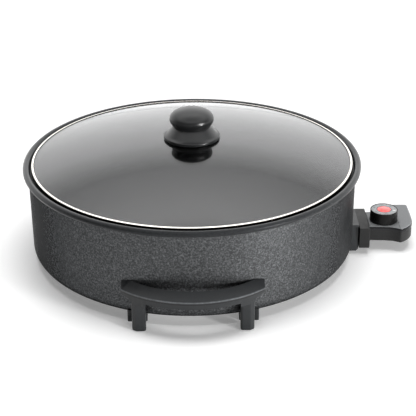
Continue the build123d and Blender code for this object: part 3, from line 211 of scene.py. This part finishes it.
def own_radius(tree, axis_y=0.0):
    """The distance from an upright axis, in the piece's own coordinates.

    The axis lies at plus and minus axis_y millimetres, whichever is nearer.
    """
    steps = (
        ("ABSOLUTE", None),
        ("SUBTRACT", (0, axis_y * MM, 0)),
        ("MULTIPLY", (1, 1, 0)),
        ("LENGTH", None),
    )
    result = tree.nodes.new("ShaderNodeTexCoord").outputs["Object"]
    for operation, value in steps:
        step = tree.nodes.new("ShaderNodeVectorMath")
        step.operation = operation
        tree.links.new(result, step.inputs[0])
        if value:
            step.inputs[1].default_value = value
        result = step.outputs["Value" if operation == "LENGTH" else "Vector"]
    return result


def bump(tree, shader, height, strength, distance):
    """Fine relief on the shader's normal."""
    node = tree.nodes.new("ShaderNodeBump")
    node.inputs["Strength"].default_value = strength
    node.inputs["Distance"].default_value = distance
    tree.links.new(height, node.inputs["Height"])
    tree.links.new(node.outputs["Normal"], shader.inputs["Normal"])


def grey(value, warmth=0.0):
    """A grey, reddish where warmth is above 0 and bluish where it is below."""
    return (value * (1 + warmth), value, value * (1 - warmth))


# ------------------------------------------------------------------ materials
def plain(name, dark, light, rough, scale, grain=0.15, relief=2e-5, metal=0.0, specular=0.5):
    """A material with a mottled colour, uneven roughness and a fine grain."""
    material, tree, shader = new_material(name)
    cells = noise(tree, scale, 3.0, 0.6)
    tree.links.new(mottle(tree, cells, dark, light), shader.inputs["Base Color"])
    broad = noise(tree, scale / 12)
    tree.links.new(spread(tree, broad, *rough), shader.inputs["Roughness"])
    shader.inputs["Metallic"].default_value = metal
    shader.inputs["Specular IOR Level"].default_value = specular
    bump(tree, shader, cells, grain, relief)
    return material


def pan_coating():
    """Matt dark coating with fine grains, smoother on the rolled rim, and near black inside the
    pan: its dark lining with painted shade under the lid.
    """
    material, tree, shader = new_material("pan_coating")
    height, radius = own_height(tree), own_radius(tree)
    bead_foot = RIM_HEIGHT - BEAD
    is_bead = above(tree, height, bead_foot - 0.6, bead_foot + 0.6)
    within = below(tree, radius, MOUTH - 0.5, MOUTH)
    over_floor = above(tree, height, FLOOR_TOP - 0.5, FLOOR_TOP - 0.1)
    is_inside = product(tree, within, over_floor)
    is_wall = product(tree, inverse(tree, is_bead), inverse(tree, is_inside))

    grains = noise(tree, 500, 5.0, 0.72)
    wall_stops = ((0.32, 0.034), (0.47, 0.058), (0.56, 0.094), (0.70, 0.180))
    wall = ramp(tree, grains, [(at, grey(value, -0.03)) for at, value in wall_stops])
    bead = mottle(tree, grains, grey(0.016, -0.05), grey(0.034, -0.05))
    # Near black inside the pan: the dark lining, deepened by painted shade under the lid.
    inside_lining_and_shade = mottle(tree, grains, grey(0.006), grey(0.012))
    outside = blend(tree, is_bead, wall, bead)
    colour = blend(tree, is_inside, outside, inside_lining_and_shade)
    tree.links.new(colour, shader.inputs["Base Color"])

    broad = spread(tree, noise(tree, 30), 0.36, 0.42)
    on_bead = product(tree, broad, spread(tree, is_bead, 1.0, 0.78, 0, 1))
    rough = product(tree, on_bead, spread(tree, is_inside, 1.0, 1.7, 0, 1))
    tree.links.new(rough, shader.inputs["Roughness"])
    tree.links.new(spread(tree, is_wall, 0.0, 0.8, 0, 1), shader.inputs["Metallic"])
    shader.inputs["Specular Tint"].default_value = (0.08, 0.08, 0.085, 1)
    relief = product(tree, grains, spread(tree, is_wall, 0.1, 1.0, 0, 1))
    bump(tree, shader, relief, 0.45, 1.4e-4)
    return material


def band_steel():
    """Bright rolled steel, with painted shade in the joint beside the rim, and dark at the cut
    edge on the glass.
    """
    material, tree, shader = new_material("band_steel")
    radius = own_radius(tree)
    # Painted shade: the steel goes dark towards the joint beside the rim.
    in_painted_joint_shade = above(tree, radius, BAND_OUTER - 0.50, BAND_OUTER - 0.22)
    at_cut = below(tree, radius, BAND_INNER + 0.05, BAND_INNER + 0.22)
    lines = noise(tree, 220, 3.0, 0.6, (1, 1, 14))
    bright = mottle(tree, lines, (0.86, 0.83, 0.77), (0.93, 0.90, 0.85))
    dark = (0.030, 0.028, 0.026)
    colour = blend(tree, at_cut, blend(tree, in_painted_joint_shade, bright, dark), dark)
    tree.links.new(colour, shader.inputs["Base Color"])
    tree.links.new(spread(tree, lines, 0.22, 0.30), shader.inputs["Roughness"])
    shader.inputs["Metallic"].default_value = 1.0
    bump(tree, shader, lines, 0.15, 2e-5)
    return material


def handle_phenolic():
    """Black phenolic, with a painted highlight along the grip's upper front edge and a painted
    shadow below its lip.

    The flange of the socket shares it and lies beyond the grip's front, so it takes this painted
    highlight and painted shadow by its height alone.
    """
    material, tree, shader = new_material("handle_phenolic")
    height, radius = own_height(tree), own_radius(tree, GRIP_AXIS)
    at_front = above(tree, radius, GRIP_RADIUS - 1.3, GRIP_RADIUS - 0.9)
    # Painted highlight: a lighter line along the grip's upper front edge.
    is_painted_highlight = product(tree, at_front, above(tree, height, LIP_TOP - 0.9, LIP_TOP - 0.5))
    over_foot = above(tree, height, LIP_BOTTOM - 0.5, LIP_BOTTOM - 0.2)
    under_top = below(tree, height, LIP_TOP - 1.6, LIP_TOP - 1.1)
    # Painted shadow: a near black line below the lip.
    is_painted_shadow = product(tree, at_front, product(tree, over_foot, under_top))

    cells = noise(tree, 1500, 3.0, 0.6)
    base = mottle(tree, cells, grey(0.010, -0.10), grey(0.017, -0.10))
    painted_highlight = mottle(tree, noise(tree, 300, 3.0), grey(0.055, -0.06), grey(0.110, -0.06))
    # The painted highlight and the near black painted shadow go over the black base.
    colour = blend(tree, is_painted_shadow, blend(tree, is_painted_highlight, base, painted_highlight), (0.002, 0.002, 0.003))
    tree.links.new(colour, shader.inputs["Base Color"])
    tree.links.new(spread(tree, noise(tree, 125), 0.30, 0.38), shader.inputs["Roughness"])
    shader.inputs["Specular IOR Level"].default_value = 0.38
    bump(tree, shader, cells, 0.12, 3e-5)
    return material


def glass_material():
    """Grey tinted glass with faint smudges."""
    material, tree, shader = new_material("lid_glass")
    smudge = noise(tree, 9)
    tint = mottle(tree, smudge, (0.60, 0.61, 0.63), (0.64, 0.65, 0.67))
    tree.links.new(tint, shader.inputs["Base Color"])
    tree.links.new(spread(tree, smudge, 0.012, 0.03), shader.inputs["Roughness"])
    shader.inputs["Transmission Weight"].default_value = 1.0
    shader.inputs["IOR"].default_value = 1.5
    return material


def lens_material():
    """Red lens that glows a little."""
    material, tree, shader = new_material("dial_lens")
    tone = mottle(tree, noise(tree, 260), (0.86, 0.05, 0.05), (1.0, 0.11, 0.10))
    tree.links.new(tone, shader.inputs["Base Color"])
    tree.links.new(tone, shader.inputs["Emission Color"])
    shader.inputs["Emission Strength"].default_value = 0.35
    shader.inputs["Roughness"].default_value = 0.12
    shader.inputs["Coat Weight"].default_value = 0.15
    return material


def cover_material():
    """Textured grey on top, a gloss black edge below it, and plain plastic at its foot."""
    material, tree, shader = new_material("cover_top")
    height = own_height(tree)
    is_top = above(tree, height, WELL_FLOOR - 0.30, WELL_FLOOR - 0.18)
    is_foot = below(tree, height, WELL_FLOOR - 2.9, WELL_FLOOR - 2.6)
    cells = noise(tree, 1300, 3.0, 0.6)
    texture = mottle(tree, cells, grey(0.145, -0.03), grey(0.205, -0.03))
    edge = blend(tree, is_foot, (0.004, 0.004, 0.005), (0.014, 0.014, 0.015))
    tree.links.new(blend(tree, is_top, edge, texture), shader.inputs["Base Color"])
    tree.links.new(spread(tree, is_top, 0.16, 0.46, 0, 1), shader.inputs["Roughness"])
    shader.inputs["Specular IOR Level"].default_value = 0.22
    bump(tree, shader, product(tree, cells, is_top), 0.35, 8e-5)
    return material


MATERIALS = {
    "pan_coating": pan_coating(),
    "lid_glass": glass_material(),
    "lens_red": lens_material(),
    "element_steel": plain("element_steel", grey(0.22, 0.05), grey(0.34, 0.06),
                           (0.35, 0.5), 400, metal=1.0),
    "ceramic": plain("ceramic", (0.74, 0.71, 0.64), (0.82, 0.80, 0.74), (0.45, 0.6), 700),
    "cover_steel": plain("cover_steel", grey(0.40), grey(0.56), (0.32, 0.46), 300, metal=1.0),
    "screw_steel": plain("screw_steel", grey(0.45), grey(0.60), (0.28, 0.40), 900, metal=1.0),
    "handle_phenolic": handle_phenolic(),
    "band_steel": band_steel(),
    "seal_silicone": plain("seal_silicone", grey(0.012), grey(0.018), (0.5, 0.62), 600),
    "knob_phenolic": plain("knob_phenolic", grey(0.008, -0.05), grey(0.012, -0.05),
                           (0.28, 0.36), 1500, grain=0.1, specular=0.34),
    "brass": plain("brass", (0.58, 0.42, 0.17), (0.70, 0.54, 0.26), (0.25, 0.4), 500,
                   metal=1.0),
    "controller_plastic": plain("controller_plastic", grey(0.010), grey(0.018), (0.40, 0.50),
                                1400, grain=0.2, relief=4e-5, specular=0.20),
    "controller_top": cover_material(),
    "grommet_rubber": plain("grommet_rubber", grey(0.014), grey(0.02), (0.55, 0.65), 700),
    "lamp_glass": plain("lamp_glass", (0.85, 0.40, 0.22), (0.95, 0.52, 0.30),
                        (0.08, 0.14), 400),
    "dial_gloss": plain("dial_gloss", grey(0.004), grey(0.007), (0.22, 0.30), 600,
                        grain=0.03, specular=0.12),
    "scale_grey": plain("scale_grey", grey(0.28, -0.03), grey(0.34, -0.03), (0.30, 0.38), 900,
                        grain=0.05),
}
WHITE_INK = plain("white_ink", grey(0.78), grey(0.84), (0.4, 0.5), 900, grain=0.05)
DARK_INK = plain("dark_ink", (0.018, 0.028, 0.032), (0.026, 0.036, 0.040), (0.3, 0.4), 900,
                 grain=0.05)


def paint(obj, material):
    """Gives every material slot of an object the same material."""
    if not obj.data.materials:
        obj.data.materials.append(material)
    for place in obj.material_slots:
        place.material = material


slot_of = {entry["node"]: entry["material_slot"] for entry in frame["record"]["subparts"]}
for name, node in nodes.items():
    paint(node, MATERIALS[slot_of[name]])


# ------------------------------------------------------------------ mesh helpers
def link(name, data):
    """A new object in the scene."""
    obj = bpy.data.objects.new(name, data)
    bpy.context.scene.collection.objects.link(obj)
    return obj


def link_mesh(name, bm):
    """A new object from a finished bmesh, which is freed."""
    mesh = bpy.data.meshes.new(name)
    bm.to_mesh(mesh)
    bm.free()
    return link(name, mesh)


def soften(obj, angle):
    """Smooth shading that breaks at edges sharper than the angle."""
    for polygon in obj.data.polygons:
        polygon.use_smooth = True
    obj.data.set_sharp_from_angle(angle=radians(angle))


def stand_in(obj, node_name):
    """Puts a finished piece in the place of a CAD node."""
    paint(obj, MATERIALS[slot_of[node_name]])
    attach(obj, nodes[node_name]["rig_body"])
    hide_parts(node_name)


def dressed(node_name, width):
    """A clean copy of a CAD node with edges rounded by a width in millimetres."""
    bm = bmesh.new()
    bm.from_mesh(nodes[node_name].data)
    bmesh.ops.remove_doubles(bm, verts=bm.verts, dist=2e-6)
    bmesh.ops.dissolve_limit(bm, angle_limit=radians(0.5), verts=bm.verts, edges=bm.edges)
    obj = link_mesh(node_name + "_skin", bm)
    soften(obj, 30)
    modifier = obj.modifiers.new("edges", "BEVEL")
    modifier.width = width * MM
    modifier.segments = 3
    modifier.limit_method = "ANGLE"
    modifier.angle_limit = radians(30)
    modifier.harden_normals = True
    modifier.use_clamp_overlap = True
    stand_in(obj, node_name)


def lathe(name, profile, centre, segments):
    """Turns a closed profile of (radius, height) points in millimetres round an upright axis."""
    cx, cy = centre
    bm = bmesh.new()
    rings = []
    for radius, height in profile:
        if radius < 1e-6:
            rings.append([bm.verts.new((cx * MM, cy * MM, height * MM))])
            continue
        ring = []
        for k in range(segments):
            turn = 2 * pi * k / segments
            x, y = cx + radius * cos(turn), cy + radius * sin(turn)
            ring.append(bm.verts.new((x * MM, y * MM, height * MM)))
        rings.append(ring)
    for low, high in zip(rings, rings[1:] + rings[:1]):
        for k in range(segments):
            n = (k + 1) % segments
            corners = [
                low[k % len(low)],
                low[n % len(low)],
                high[n % len(high)],
                high[k % len(high)],
            ]
            distinct = list(dict.fromkeys(corners))
            if len(distinct) > 2:
                bm.faces.new(distinct)
    bmesh.ops.recalc_face_normals(bm, faces=bm.faces)
    obj = link_mesh(name, bm)
    soften(obj, 35)
    return obj


def turned(node_name, profile, segments, centre=(0, 0)):
    """A turned piece in the place of a round CAD node."""
    obj = lathe(node_name + "_skin", profile, centre, segments)
    stand_in(obj, node_name)
    return obj


def arc(centre, radius, start, stop, count):
    """Points on an arc, angles in degrees."""
    points = []
    for k in range(count + 1):
        turn = radians(start + (stop - start) * k / count)
        points.append((centre[0] + radius * cos(turn), centre[1] + radius * sin(turn)))
    return points


def outline(corners, count=6):
    """A profile from (radius, height, rounding) corners, each rounding as an arc."""
    points = []
    for k, (x, z, rounding) in enumerate(corners):
        corner = Vector((x, z))
        if not rounding:
            points.append((x, z))
            continue
        before = (Vector(corners[k - 1][:2]) - corner).normalized()
        after = (Vector(corners[(k + 1) % len(corners)][:2]) - corner).normalized()
        half = acos(before.dot(after)) / 2
        centre = corner + (before + after).normalized() * rounding / sin(half)
        start = corner + before * rounding / tan(half) - centre
        stop = corner + after * rounding / tan(half) - centre
        first = atan2(start.y, start.x)
        sweep = (atan2(stop.y, stop.x) - first + pi) % (2 * pi) - pi
        for step in range(count + 1):
            turn = first + sweep * step / count
            points.append((centre.x + rounding * cos(turn), centre.y + rounding * sin(turn)))
    return points


def hermite(start, start_slope, stop, stop_slope, count):
    """Points on a smooth curve from start to stop with the given slopes at its ends."""
    parts = (start, start_slope, stop, stop_slope)
    points = []
    for k in range(count + 1):
        t = k / count
        weights = (
            2 * t**3 - 3 * t**2 + 1,
            t**3 - 2 * t**2 + t,
            3 * t**2 - 2 * t**3,
            t**3 - t**2,
        )
        x, z = (sum(w * part[axis] for w, part in zip(weights, parts)) for axis in (0, 1))
        points.append((x, z))
    return points


def cut_box(obj, low, high):
    """Cuts a box, given by two corners in millimetres, out of a piece."""
    bm = bmesh.new()
    bmesh.ops.create_cube(bm, size=1.0)
    bmesh.ops.scale(bm, vec=[(b - a) * MM for a, b in zip(low, high)], verts=bm.verts)
    bmesh.ops.translate(bm, vec=[(a + b) / 2 * MM for a, b in zip(low, high)], verts=bm.verts)
    cutter = link_mesh("cutter", bm)
    modifier = obj.modifiers.new("window", "BOOLEAN")
    modifier.object = cutter
    modifier.operation = "DIFFERENCE"
    bpy.context.view_layer.objects.active = obj
    bpy.ops.object.modifier_apply(modifier="window")
    bpy.data.objects.remove(cutter)


# ------------------------------------------------------------------ pan
BEAD_START, LIP_START = -132.5, 96
pan_profile = (
    [(0, BASE_UNDERSIDE), (RING_INNER, BASE_UNDERSIDE), (RING_INNER, COVER_SEAT)]
    + [(RECESS, COVER_SEAT), (RECESS, UNDERSIDE)]
    + arc((WALL_FOOT - CORNER, UNDERSIDE + CORNER), CORNER, -90, 0, 12)
    + WALL_STEPS
    + arc((BEAD_X, RIM_HEIGHT), BEAD, BEAD_START, 90, 22)
    + arc((MOUTH + LIP, RIM_TOP - LIP), LIP, LIP_START, 180, 9)
    + [(MOUTH, LID_SEAT), (SEAT_INNER, LID_SEAT), (SEAT_INNER, LID_SEAT - SEAT_LIP)]
    + [(LEDGE_X, LEDGE_FOOT)]
    + arc((INNER_FOOT - INNER_CORNER, FLOOR_TOP + INNER_CORNER), INNER_CORNER, 0, -90, 12)
    + [(0, FLOOR_TOP)]
)
pan = turned("pan_body", pan_profile, PAN_SEGMENTS)
cut_box(pan, WINDOW_LOW, WINDOW_HIGH)
dressed("front_handle", 0.5)
dressed("rear_handle", 0.5)
dressed("socket_housing", 0.6)


# ------------------------------------------------------------------ lid
DOME_RADIUS = (BAND_INNER**2 + GLASS_RISE**2) / (2 * GLASS_RISE)
DOME_CENTRE = BAND_TOP - BAND_SHEET + GLASS_RISE - DOME_RADIUS


def dome(radius, depth=0.0):
    """Height of the glass at a radius, a depth below its outer face."""
    return DOME_CENTRE + sqrt((DOME_RADIUS - depth) ** 2 - radius**2)


reach = GLASS_RADIUS - GLASS_EDGE - GLASS_HOLE
radii = [GLASS_HOLE + reach * k / GLASS_STEPS for k in range(GLASS_STEPS + 1)]
glass_profile = (
    [(radius, dome(radius)) for radius in radii]
    + [(GLASS_RADIUS, dome(GLASS_RADIUS, GLASS_EDGE))]
    + [(GLASS_RADIUS, dome(GLASS_RADIUS, GLASS_THICKNESS - GLASS_EDGE))]
    + [(radius, dome(radius, GLASS_THICKNESS)) for radius in reversed(radii)]
)
turned("lid_glass", glass_profile, PAN_SEGMENTS)

fall = dome(BAND_INNER) - dome(GLASS_RADIUS)
sheet_x = BAND_OUTER - BAND_SHEET
turned("lid_band", outline([
    (BAND_INNER, BAND_BOTTOM, 0.0),
    (BAND_OUTER, BAND_BOTTOM, 0.4),
    (BAND_OUTER, BAND_TOP - fall, 0.6),
    (BAND_INNER, BAND_TOP, 0.3),
    (BAND_INNER, BAND_TOP - BAND_SHEET, 0.0),
    (sheet_x, BAND_TOP - BAND_SHEET - fall, 0.0),
    (sheet_x, BAND_BOTTOM + BAND_SHEET, 0.0),
    (BAND_INNER, BAND_BOTTOM + BAND_SHEET, 0.0),
]), PAN_SEGMENTS)

# ------------------------------------------------------------------ knob
knob_seam = KNOB_FOOT + KNOB_BASE_HEIGHT
turned("knob_base", outline([
    (SCREW_HOLE, KNOB_FOOT + KNOB_HOLLOW, 0.0),
    (SEAL_INNER, KNOB_FOOT + KNOB_HOLLOW, 0.0),
    (SEAL_INNER, KNOB_FOOT, 0.0),
    (KNOB_BASE, KNOB_FOOT, 0.4),
    (KNOB_BASE, KNOB_FOOT + KNOB_LIP_HEIGHT, 1.2),
    (KNOB_BASE - KNOB_SHOULDER_INSET, KNOB_FOOT + KNOB_SHOULDER_HEIGHT, 6.0),
    (KNOB_WAIST + KNOB_NECK_FLARE, knob_seam - KNOB_NECK_DROP, 3.0),
    (KNOB_WAIST, knob_seam, 0.0),
    (SCREW_HOLE, knob_seam, 0.0),
], 8), KNOB_SEGMENTS)
belly = (KNOB_CAP, knob_seam + KNOB_BELLY)
crown = (0, knob_seam + KNOB_CAP_HEIGHT)
turned("knob_cap", (
    [(INSERT_HOLE, knob_seam)]
    + hermite((KNOB_WAIST, knob_seam), CAP_FLARE, belly, (0, CAP_BELLY_PULL), 10)
    + hermite(belly, (0, CAP_CROWN_PULL), crown, (-CAP_CROWN_PULL, 0), 24)[1:]
    + [(0, knob_seam + INSERT_DEPTH), (INSERT_HOLE, knob_seam + INSERT_DEPTH)]
), KNOB_SEGMENTS)

# ------------------------------------------------------------------ controller
dressed("plug_collar", 0.4)
dressed("controller_housing", 0.4)
dressed("controller_cover", 0.3)

turned("dial_knob", outline([
    (0, DIAL_RECESS, 0.0),
    (DIAL_RIM, DIAL_RECESS, 0.0),
    (DIAL_RIM, DIAL_TOP, 0.3),
    (DIAL_RADIUS, DIAL_TOP, 0.6),
    (DIAL_RADIUS, DIAL_FOOT, 0.3),
    (DIAL_RADIUS - DIAL_WALL, DIAL_FOOT, 0.3),
    (DIAL_RADIUS - DIAL_WALL, DIAL_RECESS - DIAL_WALL, 0.8),
    (0, DIAL_RECESS - DIAL_WALL, 0.0),
]), DIAL_SEGMENTS, DIAL)
turned("dial_scale", outline([
    (LENS_RADIUS + SCALE_GAP, DIAL_RECESS, 0.0),
    (DIAL_RIM - SCALE_GAP, DIAL_RECESS, 0.0),
    (DIAL_RIM - SCALE_GAP, SCALE_TOP, 0.1),
    (LENS_RADIUS + SCALE_GAP, SCALE_TOP, 0.1),
]), DIAL_SEGMENTS, DIAL)
lens_curve = (LENS_RADIUS**2 + LENS_RISE**2) / (2 * LENS_RISE)
lens_profile = [(0, DIAL_RECESS), (LENS_RADIUS, DIAL_RECESS)]
for k in range(LENS_STEPS + 1):
    radius = LENS_RADIUS * (1 - k / LENS_STEPS)
    crest = SCALE_TOP + LENS_RISE - lens_curve + sqrt(lens_curve**2 - radius**2)
    lens_profile.append((radius, crest))
turned("dial_lens", lens_profile, LENS_SEGMENTS, DIAL)


# ------------------------------------------------------------------ marks on the dial
MARK_HEIGHT = 0.05
SCALE_START, SCALE_SWEEP = -17.6, 290.0
SCALE_NUMBERS = (80, 120, 160, 200, 240)
NUMBER_RADIUS, NUMBER_HEIGHT = 12.9, 4.2
TICK_RADIUS, TICK_WIDTH, TICK_LENGTH = 14.6, 0.8, 2.2
START_RADIUS, START_WIDTH, START_LENGTH = 13.0, 1.7, 3.6
LENS_RING_INNER, LENS_RING_OUTER = LENS_RADIUS + 0.1, LENS_RADIUS + 1.3
LENS_RING_FOOT, LENS_RING_TOP = SCALE_TOP - 0.02, SCALE_TOP + 0.04


def dial_place(radius, angle):
    """A frame on the dial's face, its X along the rim and its Y outwards."""
    turn = radians(angle)
    outward = Vector((cos(turn), sin(turn), 0))
    along = Vector((sin(turn), -cos(turn), 0))
    origin = Vector((DIAL[0], DIAL[1], SCALE_TOP)) * MM + outward * radius * MM
    axes = Matrix((along, outward, Vector((0, 0, 1)))).transposed()
    return Matrix.Translation(origin) @ axes.to_4x4()


def add_block(bm, place, width, length):
    """A thin printed bar, centred on its place."""
    made = bmesh.ops.create_cube(bm, size=1.0)["verts"]
    size = Vector((width, length, MARK_HEIGHT)) * MM
    for vert in made:
        vert.co = place @ Vector([c * s for c, s in zip(vert.co, size)])


def add_number(bm, place, number):
    """A printed number, centred on its place."""
    curve = bpy.data.curves.new("number", "FONT")
    curve.body = str(number)
    curve.size = NUMBER_HEIGHT * MM
    curve.align_x = "CENTER"
    curve.align_y = "CENTER"
    curve.extrude = MARK_HEIGHT / 2 * MM
    curve.resolution_u = 3
    text = link("number", curve)
    mesh = bpy.data.meshes.new_from_object(text)
    mesh.transform(place)
    bm.from_mesh(mesh)
    bpy.data.objects.remove(text)


def print_on_dial(obj, ink):
    """Makes a piece a mark that turns with the dial."""
    paint(obj, ink)
    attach(obj, "dial")


bm = bmesh.new()
ticks = 2 * len(SCALE_NUMBERS)
for k in range(1, ticks + 1):
    angle = SCALE_START + SCALE_SWEEP * k / ticks
    if k % 2:
        add_block(bm, dial_place(TICK_RADIUS, angle), TICK_WIDTH, TICK_LENGTH)
    else:
        add_number(bm, dial_place(NUMBER_RADIUS, angle), SCALE_NUMBERS[k // 2 - 1])
print_on_dial(link_mesh("dial_numbers", bm), DARK_INK)

bm = bmesh.new()
add_block(bm, dial_place(START_RADIUS, SCALE_START), START_WIDTH, START_LENGTH)
print_on_dial(link_mesh("dial_off_mark", bm), WHITE_INK)

print_on_dial(lathe("dial_lens_ring", [
    (LENS_RING_INNER, LENS_RING_FOOT),
    (LENS_RING_OUTER, LENS_RING_FOOT),
    (LENS_RING_OUTER, LENS_RING_TOP),
    (LENS_RING_INNER, LENS_RING_TOP),
], DIAL, LENS_SEGMENTS), DARK_INK)


# ------------------------------------------------------------------ camera
def look():
    """The camera, in front of the object and above it.

    The focal length and the image point of the target count in pixels of a picture that
    is 2 * half pixels wide and high.
    """
    azimuth, elevation, roll = radians(0.25), radians(23.36), -0.006
    distance = 1.5025
    focal = 1200.0
    aim_x, aim_y, half = 191.05, 159.5, 208.0
    sensor = 36.0
    target = Vector((0, 0, RIM_HEIGHT * MM))
    turn = Matrix.Rotation(azimuth, 3, "Z")
    position = target - distance * (turn @ Vector((0, cos(elevation), -sin(elevation))))
    yaw = atan2(aim_x - half, focal)
    pitch = atan2(aim_y - half, hypot(focal, aim_x - half))
    tilt = elevation - pitch
    forward = turn @ Vector((-sin(yaw) * cos(tilt), cos(yaw) * cos(tilt), -sin(tilt)))
    right = forward.cross(Vector((0, 0, 1))).normalized()
    up = right.cross(forward)
    turned_right = cos(roll) * right + sin(roll) * up
    turned_up = cos(roll) * up - sin(roll) * right
    camera_data = bpy.data.cameras.new("camera")
    camera_data.sensor_width = sensor
    camera_data.lens = sensor * focal / (2 * half)
    camera_data.clip_end = 50
    camera = link("camera", camera_data)
    axes = Matrix((turned_right, turned_up, -forward)).transposed()
    camera.matrix_world = Matrix.Translation(position) @ axes.to_4x4()
    bpy.context.scene.camera = camera


look()


# ------------------------------------------------------------------ floor, world and lights
FLOOR_HALF, FLOOR_CELLS = 6, 8
# The floor's tone for diffuse rays, its tone for camera and glossy rays and the light added to it.
FLOOR_BOUNCE, FLOOR_SEEN, FLOOR_LIFT = 0.80, 0.90, 0.20
# The light that reflections find on the floor far behind, from one distance to the next.
FLOOR_FAR, FAR_START, FAR_STOP = 0.65, 0.5, 1.2
# The world's light on surfaces, from the front and from behind.
AMBIENT_FRONT, AMBIENT_BACK = 0.14, 0.42
# What reflections find in front and behind, by the sine of its elevation.
GLOW_LEVEL = 3.0
FRONT_GLOW = ((0.0, 0.07), (0.50, 0.07), (0.72, 0.75), (1.0, 0.35))
BACK_GLOW = (
    (0.0, 0.54), (0.25, 0.62), (0.42, 0.66), (0.60, 0.38), (0.70, 0.62), (0.82, 1.0), (1.0, 0.35)
)
BEHIND_START, BEHIND_STOP = -0.2, 0.45
LAMP_AIM = Vector((0, 0, 0.08))


def floor():
    """A matt floor, near white to the camera and in reflections."""
    bm = bmesh.new()
    bmesh.ops.create_grid(bm, x_segments=FLOOR_CELLS, y_segments=FLOOR_CELLS, size=FLOOR_HALF)
    obj = link_mesh("floor", bm)
    material, tree, shader = new_material("floor")
    rays = tree.nodes.new("ShaderNodeLightPath").outputs
    seen = combine(tree, "MAXIMUM", rays["Is Camera Ray"], rays["Is Glossy Ray"])
    shade = ramp(tree, seen, ((0.0, grey(FLOOR_BOUNCE)), (1.0, grey(FLOOR_SEEN))))
    tree.links.new(shade, shader.inputs["Base Color"])
    shader.inputs["Roughness"].default_value = 0.9
    shader.inputs["Specular IOR Level"].default_value = 0.1
    back = coordinate(tree, "Object", "Y")
    far = spread(tree, back, 0, FLOOR_FAR, FAR_START, FAR_STOP)
    glow = combine(tree, "ADD", product(tree, far, rays["Is Glossy Ray"]), FLOOR_LIFT)
    lift = tree.nodes.new("ShaderNodeEmission")
    tree.links.new(glow, lift.inputs["Strength"])
    total = tree.nodes.new("ShaderNodeAddShader")
    tree.links.new(shader.outputs["BSDF"], total.inputs[0])
    tree.links.new(lift.outputs["Emission"], total.inputs[1])
    mixed = tree.nodes.new("ShaderNodeMixShader")
    tree.links.new(seen, mixed.inputs["Fac"])
    tree.links.new(shader.outputs["BSDF"], mixed.inputs[1])
    tree.links.new(total.outputs["Shader"], mixed.inputs[2])
    tree.links.new(mixed.outputs["Shader"], tree.nodes["Material Output"].inputs["Surface"])
    obj.data.materials.append(material)


def world():
    """White to the camera and through the glass, graded in reflections, dim as a lamp."""
    sky = bpy.data.worlds.new("studio")
    bpy.context.scene.world = sky
    sky.use_nodes = True
    tree = sky.node_tree
    background = tree.nodes["Background"]
    background.inputs["Color"].default_value = (1, 1, 1, 1)
    rays = tree.nodes.new("ShaderNodeLightPath").outputs
    seen = combine(tree, "MAXIMUM", rays["Is Camera Ray"], rays["Is Transmission Ray"])
    rise = coordinate(tree, "Generated", "Z")
    back = coordinate(tree, "Generated", "Y")
    behind = spread(tree, back, 0, 1, BEHIND_START, BEHIND_STOP)
    front_glow, back_glow = (
        ramp(tree, rise, [(at, grey(value)) for at, value in stops])
        for stops in (FRONT_GLOW, BACK_GLOW)
    )
    mirrored = product(tree, blend(tree, behind, front_glow, back_glow), GLOW_LEVEL)
    ambient = spread(tree, behind, AMBIENT_FRONT, AMBIENT_BACK, 0, 1)
    lit = blend(tree, rays["Is Glossy Ray"], ambient, mirrored, "FLOAT")
    strength = blend(tree, seen, lit, 1.0, "FLOAT")
    tree.links.new(strength, background.inputs["Strength"])


def softbox(name, azimuth, elevation, distance, size, power, mirrored):
    """A rectangular lamp that faces the object; azimuth 0 is in front, 90 at the right."""
    turn, rise = radians(azimuth), radians(elevation)
    direction = Vector((sin(turn) * cos(rise), -cos(turn) * cos(rise), sin(rise)))
    data = bpy.data.lights.new(name, "AREA")
    data.shape = "RECTANGLE"
    data.size, data.size_y = size
    data.energy = power
    lamp = link(name, data)
    lamp.location = LAMP_AIM + distance * direction
    lamp.rotation_euler = (-direction).to_track_quat("-Z", "Y").to_euler()
    lamp.visible_glossy = lamp.visible_transmission = mirrored


floor()
world()
softbox("overhead", 165, 86, 3.0, (2.1, 1.8), 84, mirrored=False)
softbox("right_strip", 49, 3, 2.0, (0.22, 0.34), 50, mirrored=True)
bpy.context.scene.view_settings.view_transform = "Standard"
